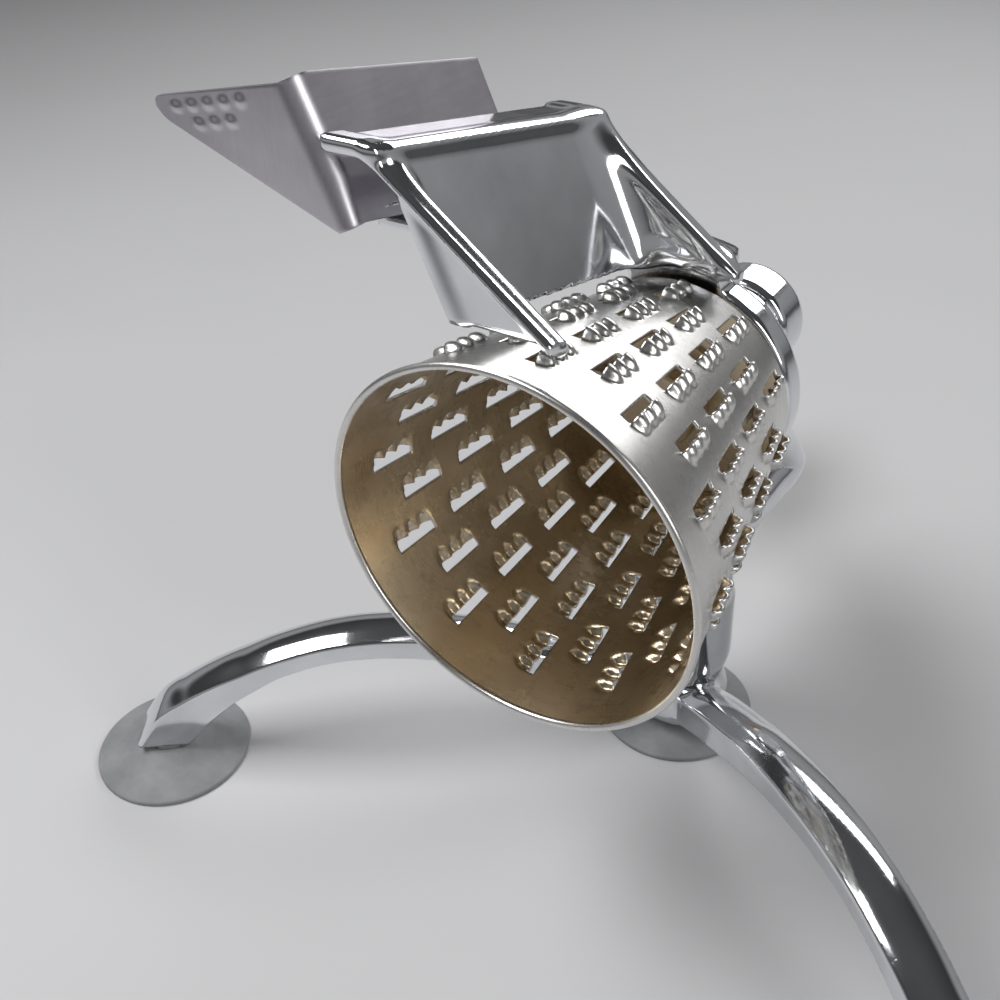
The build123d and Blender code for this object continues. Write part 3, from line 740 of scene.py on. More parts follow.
@dataclass(frozen=True)
class TurnedMetal:
    """Turned or plated metal with faint tool marks.

    Args:
        colour: tone of the clean metal.
        shade: tone of its darker clouds.
        rough: middle roughness.
    """

    colour: Colour = (0.58, 0.58, 0.57)
    shade: Colour = (0.44, 0.44, 0.43)
    rough: float = 0.3

    def make(self, name: str) -> bpy.types.Material:
        """Builds the material.

        Args:
            name: the material's name.

        Returns:
            The finished material.
        """
        nodes = Nodes(name)
        where = nodes.coordinates((1, 1, 1))
        cloud = nodes.noise(where, 160, 5)
        marks = nodes.noise(nodes.coordinates((300, 4200, 300)), 1.0, 3)
        tone = nodes.ramp(cloud, ((0.36, self.shade), (0.6, self.colour)))
        rough = nodes.spread(cloud, self.rough - 0.08, self.rough + 0.12)
        fine = nodes.bump(marks, 0.12, 0.00008)
        return nodes.wire(Base_Color=tone, Metallic=1.0, Roughness=rough, Normal=fine)


@dataclass(frozen=True)
class VarnishedWood:
    """Close-grained wood under varnish, with its grain along the knob.

    Args:
        dark: tone of the late wood.
        light: tone of the early wood.
    """

    dark: Colour = (0.16, 0.075, 0.03)
    light: Colour = (0.36, 0.19, 0.085)

    def make(self, name: str) -> bpy.types.Material:
        """Builds the material.

        Args:
            name: the material's name.

        Returns:
            The finished material.
        """
        nodes = Nodes(name)
        grain = nodes.noise(nodes.coordinates((260, 14, 260)), 1.0, 7, 0.62)
        pores = nodes.noise(nodes.coordinates((2400, 120, 2400)), 1.0, 3, 0.6)
        tone = nodes.ramp(nodes.mix(0.3, grain, pores), ((0.36, self.dark), (0.62, self.light)))
        rough = nodes.spread(pores, 0.22, 0.36)
        bump = nodes.bump(pores, 0.16, 0.0001)
        return nodes.wire(Base_Color=tone, Roughness=rough, Normal=bump, Coat_Weight=0.5, Coat_Roughness=0.12)


@dataclass
class Finishes:
    """All finishes, made once."""

    casting: bpy.types.Material = field(init=False)
    drum: bpy.types.Material = field(init=False)
    drum_inside_painted_shade: bpy.types.Material = field(init=False)
    sheet: bpy.types.Material = field(init=False)
    rubber: bpy.types.Material = field(init=False)
    black_rubber: bpy.types.Material = field(init=False)
    brass: bpy.types.Material = field(init=False)
    plated: bpy.types.Material = field(init=False)
    steel: bpy.types.Material = field(init=False)
    wood: bpy.types.Material = field(init=False)

    def __post_init__(self) -> None:
        """Builds every material."""
        self.casting = PlatedCasting().make("plated_casting")
        self.drum = BrushedSheet(source="UV", lines=(18.0, 1400.0, 1.0)).make("drum_steel")
        # Inner face of the drum: a warmer tone, made darker than the outer face as painted shade inside the
        # cone.
        self.drum_inside_painted_shade = BrushedSheet(
            colour=(0.68, 0.59, 0.45), shade=(0.5, 0.4, 0.27), source="UV", lines=(18.0, 1400.0, 1.0)
        ).make("drum_steel_inside_painted_shade")
        self.sheet = BrushedSheet(
            colour=(0.64, 0.615, 0.655), shade=(0.51, 0.485, 0.525), lines=(2600.0, 60.0, 60.0),
            gloss=0.26, haze=0.42,
        ).make("pusher_sheet")
        self.rubber = CupRubber().make("cup_rubber")
        self.black_rubber = CupRubber((0.02, 0.02, 0.02), (0.045, 0.045, 0.045)).make("ring_rubber")
        self.brass = TurnedMetal(colour=(0.68, 0.5, 0.24), shade=(0.5, 0.35, 0.16)).make("bushing_brass")
        self.plated = TurnedMetal(colour=(0.6, 0.6, 0.58), shade=(0.46, 0.46, 0.45)).make("plated_fastener")
        self.steel = TurnedMetal(rough=0.26).make("shaft_steel")
        self.wood = VarnishedWood().make("knob_wood")


def dress(piece: bpy.types.Object, *materials: bpy.types.Material) -> None:
    """Gives a piece its materials.

    Args:
        piece: the piece to dress.
        materials: its materials, in the order of its slots.
    """
    piece.data.materials.clear()
    for material in materials:
        piece.data.materials.append(material)


def seat(piece: bpy.types.Object, body: Body, slot: str, *nodes: str) -> None:
    """Puts a piece on its body and hides the nodes that it stands for.

    Args:
        piece: the finished piece.
        body: the body that it rides on.
        slot: the record's material slot; not used.
        nodes: the nodes that it replaces.
    """
    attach(piece, body.value)
    if nodes:
        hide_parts(*nodes)
    LOG.info("%s: %d faces on %s", piece.name, len(piece.data.polygons), body.value)


# ---------------------------------------------------------------- head casting


@dataclass
class HeadCasting:
    """Post, goose neck, bell housing and hopper in one casting.

    The hopper's plates are cut from outlines in a front section that shifts along the drum's cone.
    """

    bench: Bench
    finishes: Finishes
    seam: float = 23.0
    post_radius: float = 15.2
    post_height: float = 34.0
    neck_half: tuple[float, float] = (16.6, 11.0)
    neck_level: float = 75.0
    neck_bend: float = 16.0
    neck_taper: float = 0.16
    knee: float = 157.0
    bell_radius: float = 32.8
    bell_span: tuple[float, float] = (90.8, 101.0)
    boss_radius: float = 15.6
    boss_rear: float = 126.5
    well: tuple[float, float] = (97.3, 30.4)
    bushing: tuple[float, float] = (6.8, 9.0)
    crank_room: float = 17.5
    drift: tuple[float, float] = (0.066, -0.212)
    webs: tuple[float, float] = (8.0, 87.0)
    wall: float = 2.6
    rim: tuple[float, float] = (3.8, 3.0)
    rim_tip: tuple[float, float] = (-43.5, 92.8)
    rim_bend: float = -34.0
    rim_low: tuple[float, float] = (12.0, 57.0)
    wall_top: float = -32.0
    lean: float = math.radians(22.7)
    web_floor: float = 55.0
    web_head: float = 88.2
    plate_corner: float = 1.2
    rail_corner: float = 1.42
    root_span: tuple[float, float] = (-30.0, 17.0)
    root_radius: float = 43.8
    root_room: float = 6.6
    root_step: float = 4.0
    drum_mouth: float = 51.0
    drum_tail: float = 33.8
    drum_slope: float = 0.19545
    drum_room: float = 3.3
    ledges: tuple[float, float] = (16.0, 52.0)
    ledge_length: float = 9.0
    ledge_top: float = 73.6
    ledge_reach: tuple[float, float, float] = (-22.9, -39.2, -41.6)
    step: float = 0.75

    def neck_path(self) -> Array:
        """Middle line of the neck: up from the post, back to the knee and forward to the boss.

        Returns:
            The line's (y, z) points.
        """
        hub, level, knee, bend = self.bench.hub_y, self.neck_level, self.knee, self.neck_bend
        turn = np.linspace(math.pi, math.pi / 2, 10)
        arc = np.stack([hub + bend + bend * np.cos(turn), level - bend + bend * np.sin(turn)], -1)
        elbow = [(knee - 5.0, level), (knee - 1.0, level + 0.8), (knee - 2.6, level + 4.6)]
        foot, head = (hub, self.seam + 12.0), (hub + 12.0, self.bench.axis_z - 8.0)
        return np.concatenate([[foot], arc, elbow, [head]])

    def neck(self, x: Array, y: Array, z: Array) -> Array:
        """Distance to the neck, an oval section along its path.

        Args:
            x: places across, in machine millimetres.
            y: places behind the mouth.
            z: heights above the table.

        Returns:
            Signed distance, negative inside.
        """
        path = self.neck_path()
        best = np.full(np.shape(y), np.inf)
        for (ay, az), (by, bz) in zip(path, path[1:]):
            ey, ez = by - ay, bz - az
            share = np.clip(((y - ay) * ey + (z - az) * ez) / (ey * ey + ez * ez), 0, 1)
            best = np.minimum(best, (y - ay - ey * share) ** 2 + (z - az - ez * share) ** 2)
        wide, deep = self.neck_half
        taper = self.neck_taper * np.clip((z - self.neck_level - 8) / 40, 0, 1)
        return ellipse_distance(x / (1 - taper), np.sqrt(best), wide, deep)

    def beak(self, x: Array, y: Array, z: Array) -> Array:
        """Distance to the blunt corner behind the knee.

        Args:
            x: places across, in machine millimetres.
            y: places behind the mouth.
            z: heights above the table.

        Returns:
            Signed distance, negative inside.
        """
        offsets = (x, y - self.knee + 3.0, z - self.neck_level + 1.5)
        return box_distance(offsets, (13.5, 11.5, 8.0), 7.5)

    def housing(self, x: Array, y: Array, z: Array) -> Array:
        """Distance to the bell and its boss.

        Args:
            x: places across, in machine millimetres.
            y: places behind the mouth.
            z: heights above the table.

        Returns:
            Signed distance, negative inside.
        """
        radius = np.hypot(x, z - self.bench.axis_z)
        front, rear = self.bell_span
        half, boss_half = (rear - front) / 2, (self.boss_rear - front) / 2
        bell = box_distance((y - front - half, radius), (half, self.bell_radius), 2.6)
        boss = box_distance((y - front - boss_half, radius), (boss_half, self.boss_radius), 0.7)
        return smooth_min(bell, boss, 17.0)

    def slid(self, x: Array, y: Array, z: Array) -> tuple[Array, Array]:
        """Carries places back to the front section, along the hopper's drift.

        Args:
            x: places across, in machine millimetres.
            y: places behind the mouth.
            z: heights above the table.

        Returns:
            Places across and heights above the drum axis, in the front section.
        """
        back = y - self.webs[0]
        return x - self.drift[0] * back, z - self.bench.axis_z - self.drift[1] * back

    def wall_x(self, z: float) -> float:
        """Outer face of the left wall at a height above the drum axis."""
        return self.wall_top + (self.rim_tip[1] - z) * math.tan(self.lean)

    def wall_outline(self) -> list[tuple[float, float]]:
        """Front section of the left wall.

        Returns:
            Its corners, across and above the drum axis.
        """
        thick = self.wall / math.cos(self.lean)
        low, high = self.web_floor, self.rim_tip[1] - 1
        foot, head = self.wall_x(low), self.wall_x(high)
        return [(foot, low), (head, high), (head + thick, high), (foot + thick, low)]

    def web_outline(self) -> list[tuple[float, float]]:
        """Front section of the front web.

        Returns:
            Its corners, across and above the drum axis.
        """
        (nose, low), floor, head = self.rim_low, self.web_floor, self.web_head
        left = [(self.wall_x(floor), floor), (self.wall_x(head), head)]
        return [*left, (nose, low - 1.5), (nose - 3.0, floor)]

    def rim_outline(self) -> list[tuple[float, float]]:
        """Front section of the rim, level on the left and sloping down to the right.

        Returns:
            Its corners, across and above the drum axis.
        """
        (tip_x, top), (low_x, low), thick = self.rim_tip, self.rim_low, self.rim[1]
        line = [(tip_x, top), (self.rim_bend, top), (low_x, low)]
        return [*line, *((x, z - thick) for x, z in reversed(line))]

    def hopper(self, x: Array, y: Array, z: Array) -> Array:
        """Distance to the hopper: webs, leaning wall and rim.

        Args:
            x: places across, in machine millimetres.
            y: places behind the mouth.
            z: heights above the table.

        Returns:
            Signed distance, negative inside.
        """
        sx, sz = self.slid(x, y, z)
        front, rear = self.webs
        middle_y, half_span = (front + rear) / 2, (rear - front) / 2
        half_wall, corner = self.wall / 2, self.plate_corner
        wall = prism_distance(polygon_distance(sx, sz, self.wall_outline()), y - middle_y, half_span, corner)
        front_flat = polygon_distance(sx, sz, self.web_outline())
        front_web = prism_distance(front_flat, y - front - half_wall, half_wall, corner)
        rear_flat = polygon_distance(sx, sz, self.rear_outline())
        rear_web = prism_distance(rear_flat, y - rear + half_wall, half_wall, corner)
        shape = smooth_min(wall, front_web, 4.0)
        shape = smooth_min(shape, rear_web, 13.0)
        out, thick = self.rim
        rim = polygon_distance(sx, sz, self.rim_outline())
        for start, end in ((front - out, front + self.wall), (rear - self.wall, rear + out)):
            rail = prism_distance(rim, y - (start + end) / 2, (end - start) / 2, self.rail_corner)
            shape = smooth_min(shape, rail, 3.0)
        band_end = self.wall_x(self.rim_tip[1]) + self.wall
        half = (band_end - self.rim_tip[0]) / 2
        offsets = (sx - band_end + half, y - middle_y, sz - self.rim_tip[1] + thick / 2)
        band = box_distance(offsets, (half, half_span + out, thick / 2), self.rail_corner)
        return smooth_min(shape, band, 3.4)

    def rear_outline(self) -> list[tuple[float, float]]:
        """Rear web in the front section: from the rim down to the root over the drum.

        Returns:
            Its corners, across and above the drum axis.
        """
        back = self.webs[1] - self.webs[0]
        dx, dz = self.drift[0] * back, self.drift[1] * back
        (nose, low), sunk = self.rim_low, self.root_radius - 3
        turns = [math.radians(angle) for angle in (14.0, 0.0, -14.0, -27.0)]
        foot = [(sunk * math.sin(turn) - dx, sunk * math.cos(turn) - dz) for turn in turns]
        return [(self.wall_x(self.web_head), self.web_head), (nose, low - 1.5), *foot]

    def root(self, x: Array, y: Array, z: Array) -> Array:
        """Distance to the shoulder that carries the rear web over the drum's small end.

        Args:
            x: places across, in machine millimetres.
            y: places behind the mouth.
            z: heights above the table.

        Returns:
            Signed distance, negative inside.
        """
        rise = z - self.bench.axis_z
        radius, angle = np.hypot(x, rise), np.degrees(np.arctan2(x, rise))
        start, end = self.root_span
        arc = np.radians(angle - (start + end) / 2) * radius
        half = math.radians(end - start) / 2 * self.root_radius
        front, rear = self.webs[1] - self.wall, self.bell_span[0] + self.root_step
        deep = (self.root_radius - self.drum_tail - self.root_room) / 2
        wave = 1.1 * np.cos((angle - 9.0) * math.pi / 22.0) * (y < self.bell_span[0])
        offsets = (y - (front + rear) / 2, radius - self.root_radius + deep + np.clip(wave, -1.0, 0.6), arc)
        return box_distance(offsets, ((rear - front) / 2, deep, half), 1.4)

    def shoulder(self, x: Array, y: Array, z: Array) -> Array:
        """Distance to the shoulder on the bell that the hopper's root stands on.

        Args:
            x: places across, in machine millimetres.
            y: places behind the mouth.
            z: heights above the table.

        Returns:
            Signed distance, negative inside.
        """
        rise = z - self.bench.axis_z
        radius, angle = np.hypot(x, rise), np.arctan2(x, rise)
        start, end = (math.radians(turn) for turn in self.root_span)
        arc, half = (angle - (start + end) / 2) * self.root_radius, (end - start) / 2 * self.root_radius
        (front, rear), inner, outer = self.bell_span, self.well[1] - 1.0, self.root_radius
        slope = (rear, self.bell_radius + self.root_step), (rear - self.root_step, outer)
        section = polygon_distance(y, radius, [(front, inner), (rear, inner), *slope, (front, outer)])
        return prism_distance(section, arc, half, 1.4)

    def ledge(self, x: Array, y: Array, z: Array) -> Array:
        """Distance to the two ledges that carry the pusher.

        Args:
            x: places across, in machine millimetres.
            y: places behind the mouth.
            z: heights above the table.

        Returns:
            Signed distance, negative inside.
        """
        sx, sz = self.slid(x, y, z)
        root, lip, edge = self.ledge_reach
        top, under, crest = self.ledge_top, self.ledge_top - 2.4, self.ledge_top + 3.0
        shelf = [(root, top), (lip, top), (lip, crest), (edge, crest), (edge, under), (root, under)]
        flat = polygon_distance(sx, sz, shelf)
        half = self.ledge_length / 2
        first, second = (prism_distance(flat, y - start - half, half, 0.5) for start in self.ledges)
        return np.minimum(first, second)

    def field(self, x: Array, y: Array, z: Array) -> Array:
        """Distance to the whole casting.

        Args:
            x: places across, in machine millimetres.
            y: places behind the mouth.
            z: heights above the table.

        Returns:
            Signed distance, negative inside.
        """
        rise = z - self.bench.axis_z
        radius = np.hypot(x, rise)
        half = self.post_height / 2
        offsets = (np.hypot(x, y - self.bench.hub_y), z - self.seam - half)
        post = box_distance(offsets, (self.post_radius, half), 0.5)
        shape = smooth_min(post, self.neck(x, y, z), 9.0)
        shape = smooth_min(shape, self.beak(x, y, z), 6.0)
        shape = smooth_min(shape, self.housing(x, y, z), 7.0)
        shape = smooth_min(shape, self.shoulder(x, y, z), 5.0)
        upper = smooth_min(self.hopper(x, y, z), self.root(x, y, z), 5.0)
        upper = smooth_min(upper, self.ledge(x, y, z), 1.5)
        shape = smooth_min(shape, upper, 4.0)
        drum = radius - (self.drum_mouth - self.drum_slope * y + self.drum_room)
        shape = -smooth_min(-shape, np.maximum(drum, y - self.bell_span[0]), 1.4)
        well_floor, well_radius = self.well
        hollow = np.maximum(radius - well_radius, y - well_floor)
        bore = radius - self.bushing[0]
        seat_ring = np.maximum(radius - self.bushing[1], self.boss_rear - 1.5 - y)
        crank = np.maximum(radius - self.crank_room, self.boss_rear - y)
        for cut in (hollow, bore, seat_ring, crank):
            shape = np.maximum(shape, -np.where(rise > -self.crank_room - 8, cut, np.maximum(cut, 1.0)))
        return np.maximum(shape, self.seam + 0.15 - z)

    def build(self) -> None:
        """Meshes, dresses and seats the casting."""
        low = (-46.0, -1.0, self.seam - 2.0)
        high = (36.0, self.knee + 14.0, self.bench.axis_z + self.rim_tip[1] + 4.0)
        points, faces, normals = mesh_field(self.field, low, high, self.step)
        piece = add_mesh("head_shell", self.bench, points, faces, normals)
        dress(piece, self.finishes.casting)
        seat(piece, Body.FRAME, "cast_metal", "head_casting", "hopper_casting")


# ---------------------------------------------------------------- tripod


@dataclass
class Tripod:
    """Hub and two arched front legs, cast in one with crisp ridges along their tops.

    The stations of a leg are its distance from the column axis, the height of its middle and its half depth.
    """

    bench: Bench
    finishes: Finishes
    floor: float = 9.5
    seam: float = 23.0
    hub_radius: float = 17.5
    post_radius: float = 15.2
    half_width: float = 8.0
    crown: float = 2.4
    edge: float = 0.8
    post_room: float = 0.25
    bore: float = 4.15
    step: float = 0.75
    stations: tuple[tuple[float, float, float], ...] = (
        (4.0, 12.0, 6.0), (18.0, 18.3, 6.2), (30.0, 24.5, 6.25), (46.0, 31.8, 6.1), (60.0, 37.8, 5.75),
        (80.0, 43.6, 5.2), (100.0, 46.6, 4.8), (118.0, 46.0, 4.5), (135.0, 41.8, 4.6), (148.0, 35.8, 5.4),
        (158.0, 30.0, 6.6), (168.0, 22.6, 8.0), (176.0, 15.4, 9.0), (186.0, 4.0, 9.6),
    )

    def field(self, x: Array, y: Array, z: Array) -> Array:
        """Distance to hub and leg; the two sides mirror each other.

        Args:
            x: places across, in machine millimetres.
            y: places behind the mouth.
            z: heights above the table.

        Returns:
            Signed distance, negative inside.
        """
        side = np.abs(x)
        bench = self.bench
        back = bench.hub_y - y
        along = side * math.sin(bench.turn) + back * math.cos(bench.turn)
        across = side * math.cos(bench.turn) - back * math.sin(bench.turn)
        curve = smooth_path(self.stations, 8)
        slope = np.gradient(curve[:, 1], curve[:, 0])
        height = np.interp(along, curve[:, 0], curve[:, 1])
        half = np.interp(along, curve[:, 0], curve[:, 2])
        lean = 1 / np.sqrt(1 + np.interp(along, curve[:, 0], slope) ** 2)
        lift = (z - height) * lean
        crowned = lift + self.crown * (across / self.half_width) ** 2 * (lift > 0)
        leg = box_distance((across, crowned), (self.half_width, half), self.edge)
        end = (along - bench.reach - 6.5) * 0.86 + (z - 16.0) * 0.5
        leg = -smooth_min(-leg, -end, 2.5)
        leg = np.maximum(leg, 2.0 - along)
        radius = np.hypot(x, back)
        taper = np.interp(z, (self.floor + 4, self.seam), (self.hub_radius, self.post_radius))
        hub = np.maximum(radius - taper, z - self.seam)
        shape = smooth_min(leg, hub, 5.0)
        post = np.maximum(radius - self.post_radius - self.post_room, self.seam - z)
        shape = np.maximum(shape, -post)
        shape = np.maximum(shape, self.bore - radius)
        return np.maximum(shape, self.floor - z)

    def build(self) -> None:
        """Meshes, dresses and seats the tripod."""
        reach = (self.bench.reach + 12) * math.sin(self.bench.turn) + 6
        front = self.bench.hub_y - (self.bench.reach + 12) * math.cos(self.bench.turn) - 10
        low = (-reach, front, self.floor - 2.0)
        high = (reach, self.bench.hub_y + self.hub_radius + 3, 54.0)
        points, faces, normals = mesh_field(self.field, low, high, self.step)
        piece = add_mesh("tripod_shell", self.bench, points, faces, normals)
        dress(piece, self.finishes.casting)
        seat(piece, Body.FRAME, "cast_metal", "tripod_base")


# ---------------------------------------------------------------- drum


@dataclass
class Drum:
    """Cone of thin sheet with rows of slots, each with a scalloped lip punched outwards."""

    bench: Bench
    finishes: Finishes
    mouth: float = 51.0
    tail: float = 33.8
    length: float = 88.0
    sheet: float = 0.9
    bead: float = 1.0
    rows: int = 24
    first_angle: float = 4.0
    long_row: tuple[float, int] = (17.5, 4)
    short_row: tuple[float, int] = (25.5, 3)
    pitch: float = 20.2
    slot_length: float = 13.0
    slot_columns: int = 5
    columns_per_row: int = 24
    tooth_height: float = 2.35
    tooth_radius: float = 2.12
    tooth_pitch: float = 4.2
    tooth_run: float = 4.1
    swell_height: float = 0.4
    swell_end: float = 1.2
    run_columns: int = 14
    row_step: float = 0.5

    def dome(self, offset: Array, run: float) -> Array:
        """Height of the three pressed domes.

        Args:
            offset: places along the slot, from its middle.
            run: distance from the cutting edge.

        Returns:
            How far the sheet is pushed outwards.
        """
        height = np.zeros_like(offset)
        for tooth in (-1, 0, 1):
            gap = ((offset - tooth * self.tooth_pitch) / self.tooth_radius) ** 2 + (run / self.tooth_run) ** 2
            height = np.maximum(height, self.tooth_height * np.sqrt(np.maximum(1 - gap, 0)))
        ends = np.clip((self.slot_length / 2 - np.abs(offset)) / self.swell_end, 0, 1)
        swell = np.clip(1 - (run / self.tooth_run) ** 2, 0, 1) * ends
        return np.maximum(height, self.swell_height * swell)

    def radius(self, along: Array | float) -> Array | float:
        """Outer radius of the cone at a distance behind the mouth."""
        return self.mouth - (self.mouth - self.tail) * along / self.length

    def punch(self, along: Array, columns: int) -> tuple[Array, Array]:
        """Lays out the slots and presses the domes behind their cutting edges.

        Args:
            along: places of the vertex rows, behind the mouth.
            columns: vertices round the cone.

        Returns:
            How far each vertex is pushed out, and which faces are cut away.
        """
        lift = np.zeros((len(along), columns))
        holes = np.zeros((len(along) - 1, columns), bool)
        middles = (along[1:] + along[:-1]) / 2
        for row in range(self.rows):
            first, count = self.long_row if row % 2 == 0 else self.short_row
            base = row * self.columns_per_row
            edge = base + self.slot_columns
            for place in first + self.pitch * np.arange(count):
                inside = np.abs(middles - place) < self.slot_length / 2
                holes[np.ix_(inside, range(base, edge))] = True
                for column in range(self.run_columns + 1):
                    run = math.radians(column * 360 / columns) * self.radius(place)
                    at = (edge + column) % columns
                    lift[:, at] = np.maximum(lift[:, at], self.dome(along - place, run))
        return lift, holes

    def build(self) -> None:
        """Builds the punched cone and its rolled rim."""
        rows = int(round(self.length / self.row_step)) + 1
        along = np.linspace(0, self.length, rows)
        columns = self.rows * self.columns_per_row
        step = 360 / columns
        angle = np.radians(self.first_angle - self.slot_columns * step + step * np.arange(columns))
        lift, holes = self.punch(along, columns)
        slope = math.atan2(self.mouth - self.tail, self.length)
        out = self.radius(along[:, None]) + lift * math.cos(slope)
        deep = along[:, None] + lift * math.sin(slope)
        points = np.stack([out * np.sin(angle), deep, self.bench.axis_z + out * np.cos(angle)], -1)
        faces = grid_faces(rows, columns, closed=True)[~holes.reshape(-1)]
        piece = add_mesh("drum_cone", self.bench, points.reshape(-1, 3), faces)
        self.map_sheet(piece, np.arange(columns) / columns, along / self.length)
        solid = piece.modifiers.new("sheet", "SOLIDIFY")
        solid.thickness = self.sheet * MM
        solid.offset = 1.0 if self.faces_inward(piece) else -1.0
        solid.use_even_offset = False
        solid.material_offset = 1
        # The inner face takes the darker inside finish, which is painted shade.
        dress(piece, self.finishes.drum, self.finishes.drum_inside_painted_shade)
        apply_modifiers(piece)
        drop_loose(piece)
        seat(piece, Body.DRUM, "drum_steel", "drum_shell")
        self.rolled_rim()

    def rolled_rim(self) -> None:
        """Builds the rolled rim round the mouth."""
        middle_radius, bead = self.mouth - self.sheet / 2, self.bead
        turns = np.linspace(0, 2 * math.pi, 25)
        ring = tuple((bead * math.cos(turn), middle_radius + bead * math.sin(turn)) for turn in turns)
        lathe = Lathe((0, 0, self.bench.axis_z), True, ring, corner=0.05, segments=240)
        rim = lathe.build("drum_rim", self.bench)
        dress(rim, self.finishes.drum)
        seat(rim, Body.DRUM, "drum_steel", "drum_shell")

    def map_sheet(self, piece: bpy.types.Object, turns: Array, shares: Array) -> None:
        """Lays the sheet's coordinates over the cone.

        Args:
            piece: the cone, a grid of vertices with the columns first.
            turns: share of a turn of each column.
            shares: share of the length of each row.
        """
        columns = len(turns)
        layer = piece.data.uv_layers.new(name="sheet")
        loops = np.empty(len(piece.data.loops), int)
        piece.data.loops.foreach_get("vertex_index", loops)
        row, column = loops // columns, loops % columns
        corners = column.reshape(-1, 4)
        over_seam = np.repeat(corners.max(1) - corners.min(1) > columns // 2, 4)
        u = turns[column] + np.where(over_seam & (column < columns // 2), 1.0, 0.0)
        layer.data.foreach_set("uv", np.stack([u, shares[row]], -1).reshape(-1).astype(np.float32))

    def faces_inward(self, piece: bpy.types.Object) -> bool:
        """Whether the sheet's faces look at the drum axis."""
        face = piece.data.polygons[0]
        centre = face.center - Vector((0, 0, self.bench.axis_z * MM))
        return face.normal.x * centre.x + face.normal.z * centre.z < 0


# ---------------------------------------------------------------- pusher


